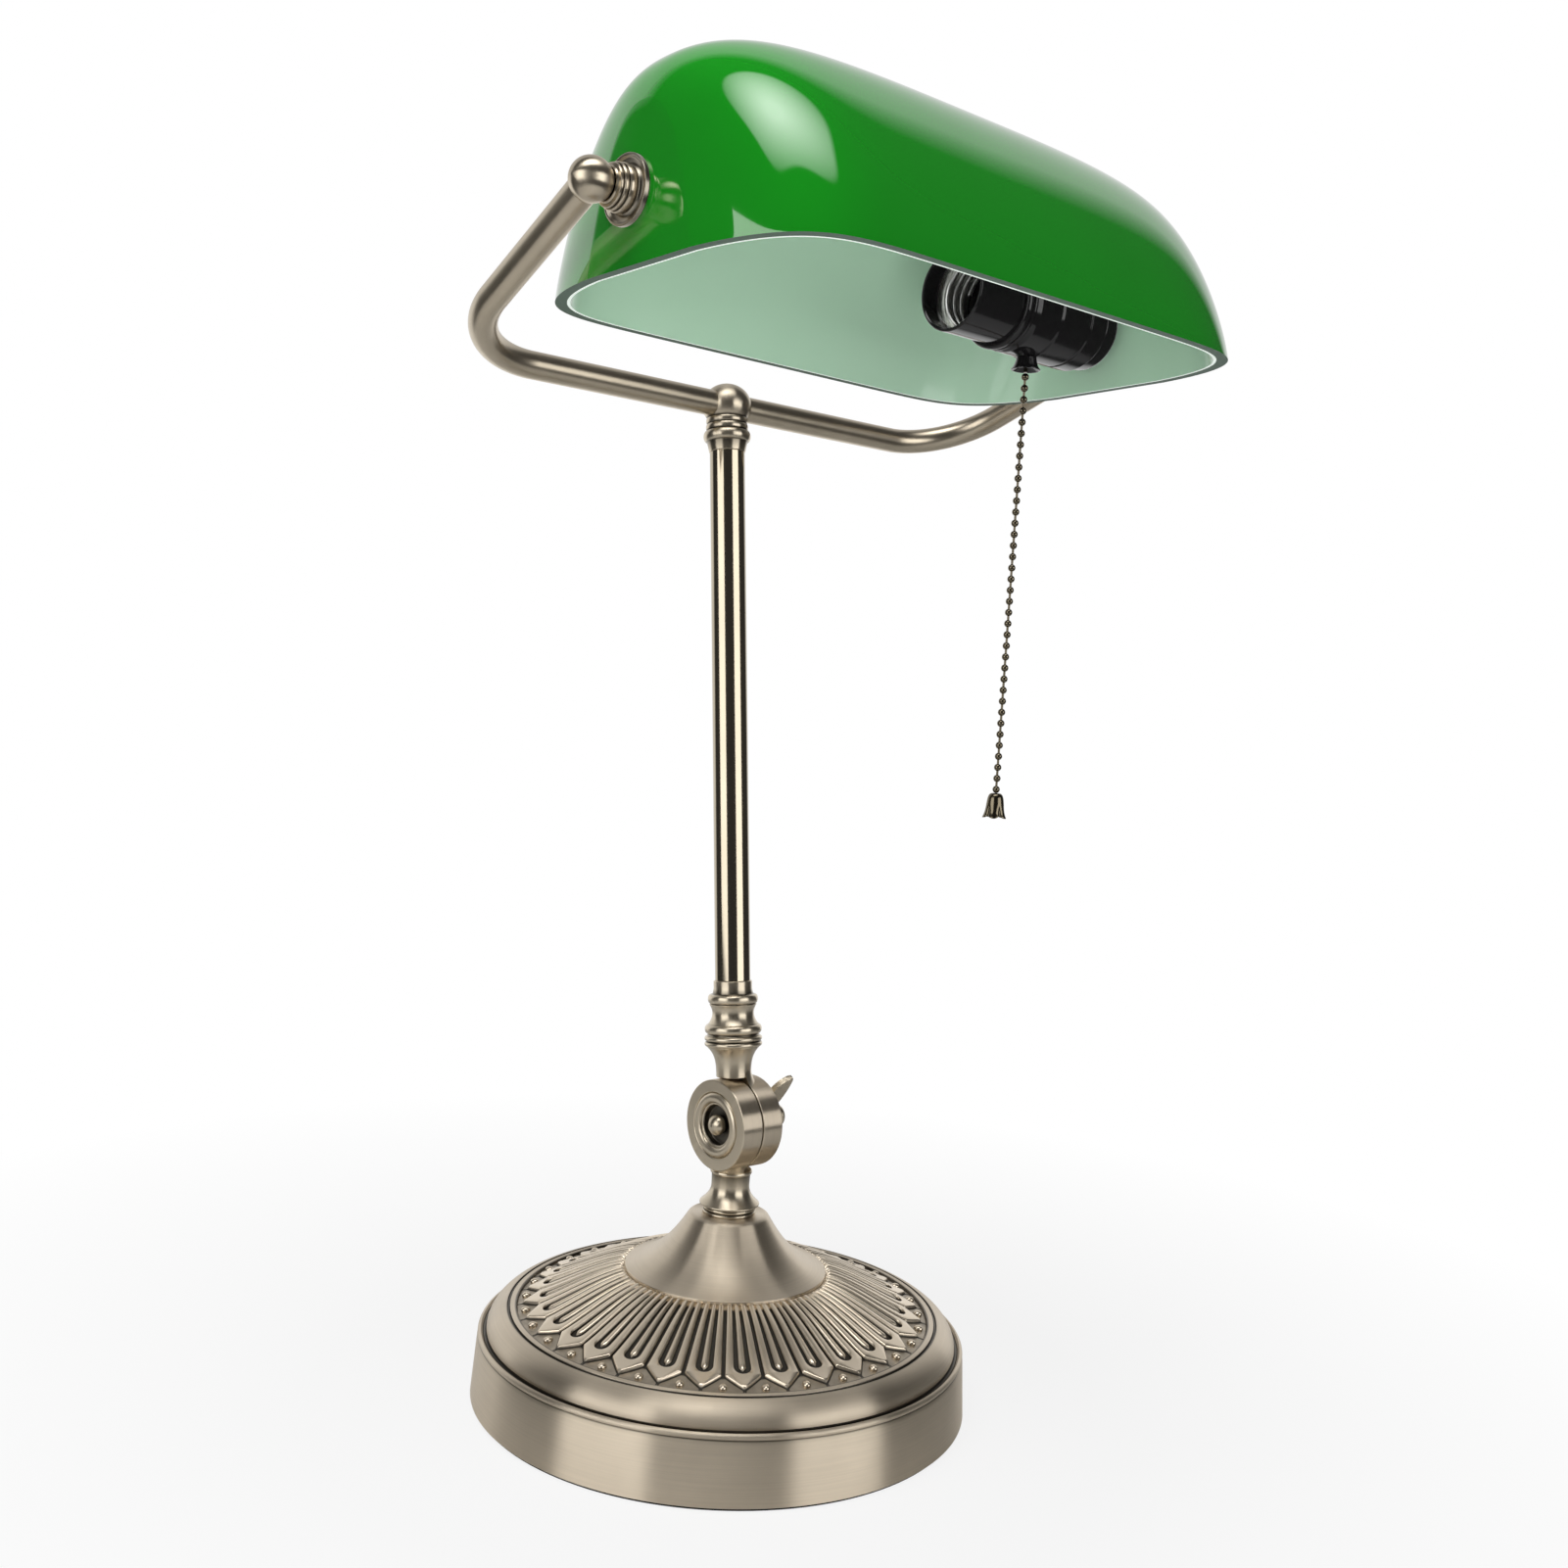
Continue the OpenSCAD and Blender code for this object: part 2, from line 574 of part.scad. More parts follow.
// Solid rod along one arm, to cut the ball's socket
module arm_rod() in_yoke() translate([yoke_half, 0, 0]) rotate(arm_turn - 90) rotate([-90, 0, 0])
    cylinder(r = bar_r + seat_gap, h = arm_l - arm_grip);
module ball_end() {
    flat_angle = acos(ball_flat/ball_r);
    bore_r = nipple_end_r + seat_gap;
    color(brass) difference() {
        at_pivot() translate([ball_x, 0, 0]) along_x() turned(concat([[bore_r, -ball_flat]],
            arc([0, 0], ball_r, ball_r, flat_angle - 90, 90, 24), [[0, 1], [bore_r, 1]]));
        arm_rod();
    }
}
module collar() {
    l = collar_start - collar_end;
    third = l/3;
    color(brass) at_pivot() translate([collar_end, 0, 0]) along_x() difference() {
        turned(concat([[0, 0]], bead(collar_r - 0.7, 0.7, 0, third),
            bead(collar_r - 0.5, 0.5, third, 2*third),
            [[collar_r - 0.8, 2*third], [ball_r - 1, l], [0, l]]));
        translate([0, 0, -1]) cylinder(r = nipple_r + seat_gap, h = l - 0.4);
        translate([0, 0, -1]) cylinder(r = nipple_end_r + seat_gap, h = l + 2);
    }
}
// Hollow nipple: thick through the glass, a thinner end screwed into the ball
module nipple(inner_x) {
    shoulder_x = collar_start - 1.4;
    color(dark_brass) at_pivot() along_x() difference() {
        union() {
            translate([0, 0, inner_x]) cylinder(r = nipple_r, h = shoulder_x - inner_x);
            translate([0, 0, shoulder_x - 1]) cylinder(r = nipple_end_r, h = ball_x - shoulder_x - 1);
        }
        translate([0, 0, inner_x - 1]) cylinder(r = nipple_bore_r, h = ball_x);
    }
}
module lock_nut() color(dark_brass) at_pivot() mirror([1, 0, 0]) translate([cap_end_x - lock_nut_t, 0, 0])
    along_x() hex_nut(1.7*nipple_d, nipple_r + seat_gap, lock_nut_t);
// Flange with a bush that lines the hole in the glass
module flange() color(brass) at_pivot() translate([glass_in_x, 0, 0]) along_x() difference() {
    union() {
        cylinder(r = bush_r, h = wall_t + 0.5);
        translate([0, 0, wall_t]) turned(concat([[0, 0], [flange_r, 0]],
            arc([flange_r - 0.6, flange_t - 0.6], 0.6, 0.6, 0, 90),
            [[flange_r - 1.8, flange_t], [collar_r + 0.4, flange_t - 0.5], [collar_r, flange_t],
             [0, flange_t]]));
    }
    translate([0, 0, -1]) cylinder(r = nipple_r + run_gap, h = wall_t + flange_t + 2);
}
module glass_washer() color(black) at_pivot() translate([washer_in_x, 0, 0]) along_x()
    ring_of(glass_washer_r, nipple_r + run_gap, glass_washer_t);

// Shade form: half-superellipse sections along the lamp, with flat ends for the flanges
stations = 26;
ribs = 22;
end_flat = 0.992;
plan_power = 9.8;
plan_root = 2.54;
crown_power = 3.6;
crown_root = 8;
side_bow = 2/2.35;
crown_bow = 2/1.24;
function taper(s, power, root) = pow(1 - pow(abs(s)*end_flat, power), 1/root);
function bowed(v, power) = sign(v)*pow(abs(v), power);
function section(s, inset) = let (half_w = (shade_w/2 - inset)*taper(s, plan_power, plan_root),
        crown = (shade_h - inset)*taper(s, crown_power, crown_root))
    [for (j = [0:ribs]) let (w = 180*j/ribs)
        [s*(shade_half - inset), -half_w*bowed(cos(w), side_bow), crown*bowed(sin(w), crown_bow)]];
function shade_grid(inset) = [for (i = [0:stations]) each section(sin(-90 + 180*i/stations), inset)];
// Closed shell between two insets, as one grid outside and one inside
module shade_shell(outer, inner) {
    row = ribs + 1;
    count = (stations + 1)*row;
    last = stations*row;
    points = concat(shade_grid(outer), shade_grid(inner));
    function quad(a, b, c, d) = [[a, b, c], [a, c, d]];
    skin = [for (i = [0:stations - 1], j = [0:ribs - 1]) let (k = i*row + j)
        each concat(quad(k, k + row, k + row + 1, k + 1),
            quad(count + k, count + k + 1, count + k + row + 1, count + k + row))];
    rim = [for (i = [0:stations - 1]) let (a = i*row, b = i*row + ribs)
        each concat(quad(a, count + a, count + a + row, a + row),
            quad(b, b + row, count + b + row, count + b))];
    ends = [
        [for (j = [0:ribs]) j], [for (j = [ribs:-1:0]) last + j],
        [for (j = [ribs:-1:0]) count + j], [for (j = [0:ribs]) count + last + j],
        [0, ribs, count + ribs], [0, count + ribs, count],
        [last, count + last, count + last + ribs], [last, count + last + ribs, last + ribs]];
    difference() {
        in_shade() polyhedron(points, concat(skin, rim, ends), convexity = 6);
        at_pivot() along_x() cylinder(r = glass_hole_r, h = 2*shade_l, center = true);
    }
}
module shade_glass() color(green) shade_shell(0, glass_t);
module shade_lining() color(opal) shade_shell(glass_t, wall_t);

module socket_cap() {
    l = cap_end_l;
    color(black) at_pivot() translate([housing_end_x, 0, 0]) along_x() difference() {
        turned([[0, 0], [housing_r - 1, 0], [housing_r - 1.6, 0.7*l], [housing_r - 4, l], [0, l]]);
        translate([0, 0, -1]) cylinder(r = nipple_r + seat_gap, h = l + 2);
    }
}
module socket_housing() color(black) at_pivot() difference() {
    translate([housing_x, 0, 0]) along_x() turned([[0, 0], [clamp_ring_r - 0.8, 0], [housing_r - 0.4, 2],
        [housing_r - 0.4, 0.34*housing_l], [housing_r, 0.36*housing_l], [housing_r, housing_l - 1],
        [housing_r - 1, housing_l], [0, housing_l]]);
    translate([housing_x + housing_wall, 0, 0]) along_x()
        cylinder(r = housing_r - housing_wall, h = housing_l - 2*housing_wall);
    translate([housing_end_x - housing_wall - 1, 0, 0]) along_x() cylinder(r = nipple_r + 0.4, h = 5);
    translate([chain_x, 0, -2*housing_r]) cylinder(r = guide_spigot_r + seat_gap, h = 2*housing_r);
}
module socket_ring() {
    l = clamp_ring_l;
    color(black) at_pivot() translate([housing_x - l, 0, 0]) along_x() difference() {
        turned(concat([[0, 0]], bead(clamp_ring_r - 1, 1, 0, l), [[0, l]]));
        translate([0, 0, -1]) cylinder(r = sleeve_r + seat_gap, h = l + 2);
    }
}
module socket_sleeve() color(black) at_pivot() translate([mouth_x, 0, 0]) along_x() difference() {
    l = housing_x - mouth_x;
    turned([[0, 0.6], [sleeve_in_r + 0.2, 0], [sleeve_r, 0.5], [sleeve_r, l], [0, l]]);
    translate([0, 0, -1]) cylinder(r = sleeve_in_r, h = l + 2);
}
module screw_shell() color(pale_metal) at_pivot() translate([shell_x, 0, 0]) along_x()
    ring_of(shell_out_r, shell_r, shell_l);
// Insulator just behind the screw shell, with a pocket that keeps the contact clear of the shell's length
module socket_insulator() color(black) at_pivot() translate([insulator_x, 0, 0]) along_x() difference() {
    cylinder(r = shell_out_r, h = insulator_t);
    translate([0, 0, -1]) cylinder(r = pocket_r, h = pocket_depth + 1);
}
module centre_contact() color(brass) at_pivot() translate([insulator_x + contact_sunk, 0, 0]) along_x()
    turned([[0, 0], [contact_r - 1.2, 0], [contact_r, contact_t], [0, contact_t]]);

module down_chain(depth) at_pivot() translate([chain_x, 0, -depth]) children();
module chain_guide() color(black) down_chain(guide_end) difference() {
    turned(concat([[0, 0], [guide_mouth_r, 0]],
        curve([guide_mouth_r, 0.5], [guide_neck_r + 0.6, 1], [guide_neck_r, 2.4],
            [guide_spigot_r, guide_h - 3], 6),
        [[guide_spigot_r, guide_h], [0, guide_h]]));
    translate([0, 0, -1]) cylinder(r = guide_bore_r, h = guide_h + 2);
    translate([0, 0, -1]) cylinder(r1 = guide_mouth_r - 0.2, r2 = guide_bore_r, h = 3);
}
module switch_plunger() color(dark_brass) down_chain(plunger_end) {
    l = plunger_end - plunger_top - plunger_head_t;
    cylinder(r = plunger_r, h = l + plunger_head_t/2);
    translate([0, 0, l]) cylinder(r = plunger_head_r, h = plunger_head_t);
}
module chain_top_bead() color(dark_brass) down_chain(top_bead) sphere(r = bead_r_chain);
module pull_chain() {
    run = (beads - 1)*bead_pitch;
    color(dark_brass) down_chain(top_bead + run) {
        translate([0, 0, -bead_r_chain - 1]) cylinder(r = link_r, h = run - link_gap + 1);
        for (i = [0:beads - 2]) translate([0, 0, i*bead_pitch]) sphere(r = bead_r_chain);
    }
}
module chain_finial() {
    last_bead = top_bead + (beads - 1)*bead_pitch;
    r = finial_d/2;
    hood = curve([0.3*r, finial_h], [0.8*r, 0.96*finial_h], [0.58*r, 0.4*finial_h], [r, 0]);
    hollow = curve([0.15*r, 0.6*finial_h], [0.6*r, 0.7*finial_h], [0.4*r, 0.3*finial_h], [r - 0.6, 0]);
    color(dark_brass) down_chain(last_bead + bead_r_chain + finial_h) difference() {
        turned(concat([[0, finial_h]], hood, reverse(hollow), [[0, 0.6*finial_h]]));
        translate([0, 0, finial_h - 1.2]) cylinder(r = link_r + seat_gap, h = 2);
    }
}

felt_pad();
base_shell();
base_weight();
lotus_ring();
bell_cone();
stem_rod();
stem_nut();
stem_washer();
stem_sleeve();
cord_gland();
lower_neck();
friction_washer();
knuckle_bolt();
thumb_nut();
cap_nut();
upper_neck();
column_tube();
tee_fitting();
yoke_tube();
mirror([1, 0, 0]) ball_end();  // ball_left
ball_end();  // ball_right
mirror([1, 0, 0]) collar();  // collar_left
collar();  // collar_right
mirror([1, 0, 0]) nipple(cap_end_x - lock_nut_t - nipple_tail);  // nipple_left
nipple(housing_end_x + nipple_tail);  // nipple_right
lock_nut();
mirror([1, 0, 0]) flange();  // flange_left
flange();  // flange_right
mirror([1, 0, 0]) glass_washer();  // glass_washer_left
glass_washer();  // glass_washer_right
shade_glass();
shade_lining();
socket_cap();
socket_housing();
socket_ring();
socket_sleeve();
screw_shell();
socket_insulator();
centre_contact();
chain_guide();
switch_plunger();
chain_top_bead();
pull_chain();
chain_finial();
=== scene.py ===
import json
import math

import bmesh
import bpy
from mathutils import Matrix, Vector

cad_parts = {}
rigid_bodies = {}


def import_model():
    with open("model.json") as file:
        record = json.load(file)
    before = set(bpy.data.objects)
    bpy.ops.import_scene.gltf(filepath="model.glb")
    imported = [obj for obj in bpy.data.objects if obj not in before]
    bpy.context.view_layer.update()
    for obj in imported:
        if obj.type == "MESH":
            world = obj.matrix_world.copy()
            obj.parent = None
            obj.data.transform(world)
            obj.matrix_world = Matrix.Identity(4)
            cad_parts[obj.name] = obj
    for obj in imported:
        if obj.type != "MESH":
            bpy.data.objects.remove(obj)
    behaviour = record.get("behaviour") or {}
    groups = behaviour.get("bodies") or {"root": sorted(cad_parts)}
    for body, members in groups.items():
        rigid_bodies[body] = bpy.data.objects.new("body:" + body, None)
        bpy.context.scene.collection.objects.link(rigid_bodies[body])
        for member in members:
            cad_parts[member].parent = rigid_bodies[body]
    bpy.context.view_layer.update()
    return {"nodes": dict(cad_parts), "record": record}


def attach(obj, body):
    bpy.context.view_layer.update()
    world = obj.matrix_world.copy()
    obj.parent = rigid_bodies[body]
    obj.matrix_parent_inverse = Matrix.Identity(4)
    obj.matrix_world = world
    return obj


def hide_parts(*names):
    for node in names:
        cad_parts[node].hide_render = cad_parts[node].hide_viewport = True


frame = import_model()
BODY_OF = {node: body
           for body, nodes in frame["record"]["behaviour"]["bodies"].items() for node in nodes}

# Sizes in millimetres, as in the part's source but for finer relief, bead, cap, wing and casing
MM = 0.001
SEGMENTS, FINE_SEGMENTS, SMALL_SEGMENTS = 160, 240, 96
SHARP = 40
# Base
PAD_T = 1.2
BASE_R, WALL_TOP, BEAD_R, WALL_DRAFT, SHEET_T = 93.0, 25.2, 1.2, 1.6, 1.8
GROOVE_R, SHOULDER_W, SHOULDER_H = 88.2, 9.8, 8.2
RING_R, LIP_Z, RING_RIM_Z, RING_T, RING_RISE, RING_INNER_R = 77.6, 33.4, 32.5, 1.6, 15.3, 30.0
FOOT_R, FOOT_Z, SEAT_Z, BELL_TOP_Z, BELL_TOP_R = 38.0, 47.8, 46.2, 69.6, 13.5
STEM_R, GLAND_TURN, GLAND_Z, GLAND_R, GLAND_BORE_R = 5.02, 117.0, 13.2, 4.3, 2.7
GLAND_IN, GLAND_OUT, GLAND_RIM = 7, 3, 2
# Ornament on the base
PETALS, RELIEF, PETAL_GAP, CHANNEL_W, RIB_W = 32, 1.3, 1.3, 6.2, 2.9
PETAL_TIP_R, PETAL_SHOULDER_R, PETAL_ROOT_R, CHANNEL_END_R = 75.4, 69.6, 40.0, 66.1
DOT_R, DOT_PLACE_R, DOT_UP = 1.6, 74.4, 0.2
HALF_TURN = math.pi/PETALS
# Knuckle
KNUCKLE_Z, DISC_R, DISC_T, DISC_IN, BOLT_R = 104.0, 17.0, 9.2, 0.3, 3.0
CUP_R, CUP_DEPTH, HEAD_R, DISC_OUT, DISC_FILLET = 7.31, 3.31, 3.91, 9.5, 8.0
NECK_TOP_Z, NECK_R, NECK_FOOT_R, NECK_L = 86.7, 7.3, 6.6, 53.5
HUB_X, HUB_R, HUB_T, BOLT_HOLE_R = 9.65, 7.2, 6.5, BOLT_R + 0.06
CAP_X, CAP_R, CAP_L, WING_REACH, WING_TURN, FIN_HALF_T = 16.3, 4.4, 7.3, 20.5, 30.0, 1.1
# Column and yoke
LEAN, COLUMN_L, TUBE_R, TUBE_WALL, SPIGOT_R, SPIGOT_L = 6.4, 272.5, 6.7, 1.2, 5.4, 11
TEE_L, TEE_R, TEE_DOME_R = 18.0, 7.85, 9.4
BAR_R, BEND_R, YOKE_HALF, YOKE_REACH, YOKE_RISE, YOKE_SHORT = 4.85, 34.0, 119.5, 86.988, 37.8, 3.7
BALL_X, BALL_R, COLLAR_END, COLLAR_L, COLLAR_R = 125.9, 6.8, 114.25, 6.25, 7.4
NIPPLE_R, BUSH_R, FLANGE_R, FLANGE_T, GLASS_HOLE_R = 4.86, 6.2, 10.7, 1.6, 6.4
# Shade
SHADE_HALF, SHADE_HALF_W, SHADE_H, GLASS_T, CASING_T = 112.5, 69.75, 74.5, 2.0, 3.2
PIVOT_UP, PIVOT_BACK, SHADE_TILT = 22.5, 5.6, 2.1
# Socket and pull chain
HOUSING_X, HOUSING_L, HOUSING_R, CAP_END_L, MOUTH_X = 57.0, 40.0, 16.7, 9.85, 28.0
HOUSING_BORE_R, HOUSING_WALL, HOUSING_END_R, CLAMP_L = 13.5, 2.2, 5.3, 5.5
SLEEVE_R, SLEEVE_IN_R, SHELL_X, SHELL_L, SHELL_R, SHELL_T = 14.62, 13.42, 35.3, 16.0, 13.0, 0.4
THREAD_FROM, THREAD_TURNS, THREAD_PITCH, THREAD_R, THREAD_WIRE = 1.3, 3.7, 3.62, 12.3, 1.1
CHAIN_X, GUIDE_END, GUIDE_H, TOP_BEAD = 70.8, 20.9, 7.0, 23.35
BEADS, BEAD_R_CHAIN, BEAD_PITCH, LINK_R, FINIAL_H, FINIAL_R = 38, 1.4, 4.15, 0.45, 9.4, 4.7


# Places, as in the part's source
def about(axis, degrees):
    return Matrix.Rotation(math.radians(degrees), 4, axis)


def shift_x(x):
    return Matrix.Translation((x, 0, 0))


def shift_z(z):
    return Matrix.Translation((0, 0, z))


TO_METRES = Matrix.Scale(MM, 4)
ALONG_X, AGAINST_X = about("Y", 90), about("Y", -90)
TEE_Y = COLUMN_L*math.sin(math.radians(LEAN))
TEE_Z = KNUCKLE_Z + COLUMN_L*math.cos(math.radians(LEAN))
AT_KNUCKLE = shift_z(KNUCKLE_Z)
ON_COLUMN = AT_KNUCKLE @ about("X", -LEAN)
AT_PIVOT = Matrix.Translation((0, TEE_Y - YOKE_REACH, TEE_Z + YOKE_RISE))
IN_SHADE = AT_PIVOT @ about("X", -SHADE_TILT) @ Matrix.Translation((0, -PIVOT_BACK, -PIVOT_UP))


def end_place(side, x):
    """Outwards along the pivot axis from distance x, at the left or the right end."""
    return AT_PIVOT @ (shift_x(x) @ ALONG_X if side == "right" else shift_x(-x) @ AGAINST_X)


def on_pivot(x):
    """To the right along the pivot axis from distance x."""
    return AT_PIVOT @ shift_x(x) @ ALONG_X


def down_chain(depth):
    return AT_PIVOT @ Matrix.Translation((CHAIN_X, 0, -depth))


# Profiles
SHORTEST_SIDE, LEAST_TURN, SHARE_OF_SIDE, HOLD = 0.02, 0.3, 0.3, 1.5
GROOVE_REACH, GROOVE_DEPTH = 0.7, 0.3


def curve(a, b, c, d, n=24):
    points = []
    for i in range(n + 1):
        t = i/n
        s = 1 - t
        points.append(tuple(s*s*s*p + 3*s*s*t*q + 3*s*t*t*r + t*t*t*w
                            for p, q, r, w in zip(a, b, c, d)))
    return points


def arc(centre, rx, ry, start, stop, n=16):
    turns = [math.radians(start + (stop - start)*i/n) for i in range(n + 1)]
    return [(centre[0] + rx*math.cos(w), centre[1] + ry*math.sin(w)) for w in turns]


def bead(r, swell, low, high, n=14):
    return arc((r, (low + high)/2), swell, (high - low)/2, -90, 90, n)


def eased(points, radius=0.3):
    """The profile with its corners rounded, and a holding point on each side so that flats stay
    flat."""
    out = []
    for i, point in enumerate(points):
        p = Vector(point)
        if 0 < i < len(points) - 1:
            u, v = Vector(points[i - 1]) - p, Vector(points[i + 1]) - p
            room = min(u.length, v.length)
            if room > SHORTEST_SIDE and math.pi - u.angle(v) > LEAST_TURN:
                ease = min(radius, SHARE_OF_SIDE*room)
                u.normalize()
                v.normalize()
                a, b = p + u*ease, p + v*ease
                out.append(p + u*HOLD*ease)
                out += [a*(1 - t)**2 + p*2*t*(1 - t) + b*t*t for t in (0, 0.25, 0.5, 0.75, 1)]
                out.append(p + v*HOLD*ease)
                continue
        out.append(p)
    return [tuple(p) for p in out]


def eased_loop(points, radius):
    """A closed profile with its corners rounded, but for the one it starts from."""
    return eased(points + points[:1], radius)[:-1]


def smoothstep(t):
    t = min(max(t, 0.0), 1.0)
    return t*t*(3 - 2*t)


def groove_shares(points):
    """How far each point of a profile lies in a groove, from 0 to 1: the radius it lacks to a
    short chord across."""
    shares = []
    for i, point in enumerate(points):
        radii = []
        for step in (-1, 1):
            j, last = i, point
            while 0 <= j + step < len(points) and math.dist(last, point) < GROOVE_REACH:
                j += step
                last = points[j]
            span = math.dist(last, point)
            reach = min(GROOVE_REACH/span, 1.0) if span else 0.0
            radii.append(point[0] + (last[0] - point[0])*reach)
        shares.append(smoothstep((sum(radii)/2 - point[0])/GROOVE_DEPTH))
    return shares


# Mesh building
def in_scene(name, data):
    thing = bpy.data.objects.new(name, data)
    bpy.context.scene.collection.objects.link(thing)
    return thing


def mesh_of(name, bm):
    mesh = bpy.data.meshes.new(name)
    bm.to_mesh(mesh)
    bm.free()
    return mesh


def mark_edges(bm, sharp):
    for edge in bm.edges:
        edge.smooth = len(edge.link_faces) == 2 and edge.calc_face_angle(0) < math.radians(sharp)


def uv_map(bm):
    return bm.loops.layers.uv.get("UVMap") or bm.loops.layers.uv.new("UVMap")


def new_piece(name, bm, place=Matrix.Identity(4), sharp=SHARP):
    """A finished mesh object at the origin, with its place in its mesh."""
    bmesh.ops.recalc_face_normals(bm, faces=bm.faces)
    bm.transform(TO_METRES @ place)
    for face in bm.faces:
        face.smooth = True
    mark_edges(bm, sharp)
    return in_scene(name, mesh_of(name, bm))


def face_outwards(piece, sharp=SHARP):
    bm = bmesh.new()
    bm.from_mesh(piece.data)
    bmesh.ops.recalc_face_normals(bm, faces=bm.faces)
    mark_edges(bm, sharp)
    bm.to_mesh(piece.data)
    bm.free()
    return piece


def turn(bm, points, place=Matrix.Identity(4), closed=False, segments=SEGMENTS, coat=0):
    """Turns a profile of (radius, height) round Z; the map runs round the piece and along the
    profile."""
    uv = uv_map(bm)
    # Share of a groove at each point, which the metal finishes darken as painted shade
    hollow = bm.verts.layers.float.get("hollow") or bm.verts.layers.float.new("hollow")
    angles = [2*math.pi*k/segments + math.pi/4 for k in range(segments)]
    rows, along = [], [0.0]
    for i, ((r, z), share) in enumerate(zip(points, groove_shares(points))):
        on_axis = r < 1e-6
        spots = [(0, 0, z)] if on_axis else [(r*math.cos(a), r*math.sin(a), z) for a in angles]
        rows.append([bm.verts.new(place @ Vector(p)) for p in spots])
        for vert in rows[-1]:
            vert[hollow] = share
        if i:
            along.append(along[-1] + math.dist(points[i - 1], points[i]))
    around = 2*math.pi*max(r for r, z in points)/segments
    pairs = [(i, i + 1) for i in range(len(points) - 1)]
    if closed:
        pairs.append((len(points) - 1, 0))
    for i, j in pairs:
        for k in range(segments):
            corners = []
            for row, step in ((i, 0), (i, 1), (j, 1), (j, 0)):
                ring = rows[row]
                if len(ring) > 1:
                    corners.append((ring[(k + step) % segments], (k + step)*around, along[row]))
                elif step == 0 or row == j:
                    corners.append((ring[0], (k + 0.5)*around, along[row]))
            kept = []
            for corner in corners:
                if corner[0] not in [c[0] for c in kept]:
                    kept.append(corner)
            if len(kept) < 3:
                continue
            face = bm.faces.new([c[0] for c in kept])
            face.material_index = coat
            for loop, corner in zip(face.loops, kept):
                loop[uv].uv = (corner[1]*MM, corner[2]*MM)


def turned(name, points, place=Matrix.Identity(4), closed=False, segments=SEGMENTS):
    bm = bmesh.new()
    turn(bm, points, place, closed, segments)
    return new_piece(name, bm)


def lay_in(bm, part, place):
    """Puts a small mesh into the piece's mesh, with its own map, or mapped by its X and Y."""
    uv = uv_map(bm)
    own = part.loops.layers.uv.get("UVMap")
    made = {v: bm.verts.new(place @ v.co) for v in part.verts}
    for face in part.faces:
        copy = bm.faces.new([made[v] for v in face.verts])
        for loop, corner in zip(copy.loops, face.loops):
            loop[uv].uv = corner[own].uv if own else corner.vert.co.xy*MM
    part.free()


def plate(bm, outline, low, high, ease, place=Matrix.Identity(4)):
    """A flat piece with rounded edges: the outline is drawn in XY and the thickness goes from low
    to high."""
    flat = bmesh.new()
    bottom = [flat.verts.new((x, y, low)) for x, y in outline]
    top = [flat.verts.new((x, y, high)) for x, y in outline]
    count = len(outline)
    flat.faces.new(bottom[::-1])
    flat.faces.new(top)
    for k in range(count):
        following = (k + 1) % count
        flat.faces.new([bottom[k], bottom[following], top[following], top[k]])
    rims = [e for e in flat.edges if abs(e.verts[0].co.z - e.verts[1].co.z) < 1e-6]
    bmesh.ops.bevel(flat, geom=rims, offset=ease, segments=3, profile=0.5, affect="EDGES")
    lay_in(bm, flat, place)


# Node trees
NOISE_LOW, NOISE_HIGH = 0.3, 0.7


class Tree:
    """Adds nodes to a tree; a value that is a socket is linked, any other is set on the input."""

    def __init__(self, tree):
        self.tree = tree

    def put(self, socket, value):
        if isinstance(value, bpy.types.NodeSocket):
            self.tree.links.new(value, socket)
        else:
            socket.default_value = value

    def add(self, kind, sockets=(), **settings):
        node = self.tree.nodes.new(kind)
        for key, value in settings.items():
            setattr(node, key, value)
        for key, value in dict(sockets).items():
            self.put(node.inputs[key], value)
        return node

    def math(self, operation, a, b=0.0):
        return self.add("ShaderNodeMath", {0: a, 1: b}, operation=operation).outputs[0]

    def times(self, a, b):
        return self.math("MULTIPLY", a, b)

    def larger(self, a, b):
        return self.math("MAXIMUM", a, b)

    def vectors(self, operation, a, b=(0.0, 0.0, 0.0), result="Vector"):
        node = self.add("ShaderNodeVectorMath", {0: a, 1: b}, operation=operation)
        return node.outputs[result]

    def blend(self, factor, a, b):
        return self.add("ShaderNodeMix", {0: factor, 6: a, 7: b}, data_type="RGBA").outputs[2]

    def spread(self, value, low, high, to_low=0.0, to_high=1.0):
        sockets = {0: value, 1: low, 2: high, 3: to_low, 4: to_high}
        return self.add("ShaderNodeMapRange", sockets).outputs[0]

    def noise(self, place, scale, detail):
        sockets = {"Vector": place, "Scale": scale, "Detail": detail}
        return self.add("ShaderNodeTexNoise", sockets).outputs[0]

    def noise_share(self, noise, to_low=0.0, to_high=1.0):
        return self.spread(noise, NOISE_LOW, NOISE_HIGH, to_low, to_high)

    def bump(self, strength, distance, height):
        sockets = {"Strength": strength, "Distance": distance, "Height": height}
        return self.add("ShaderNodeBump", sockets).outputs[0]


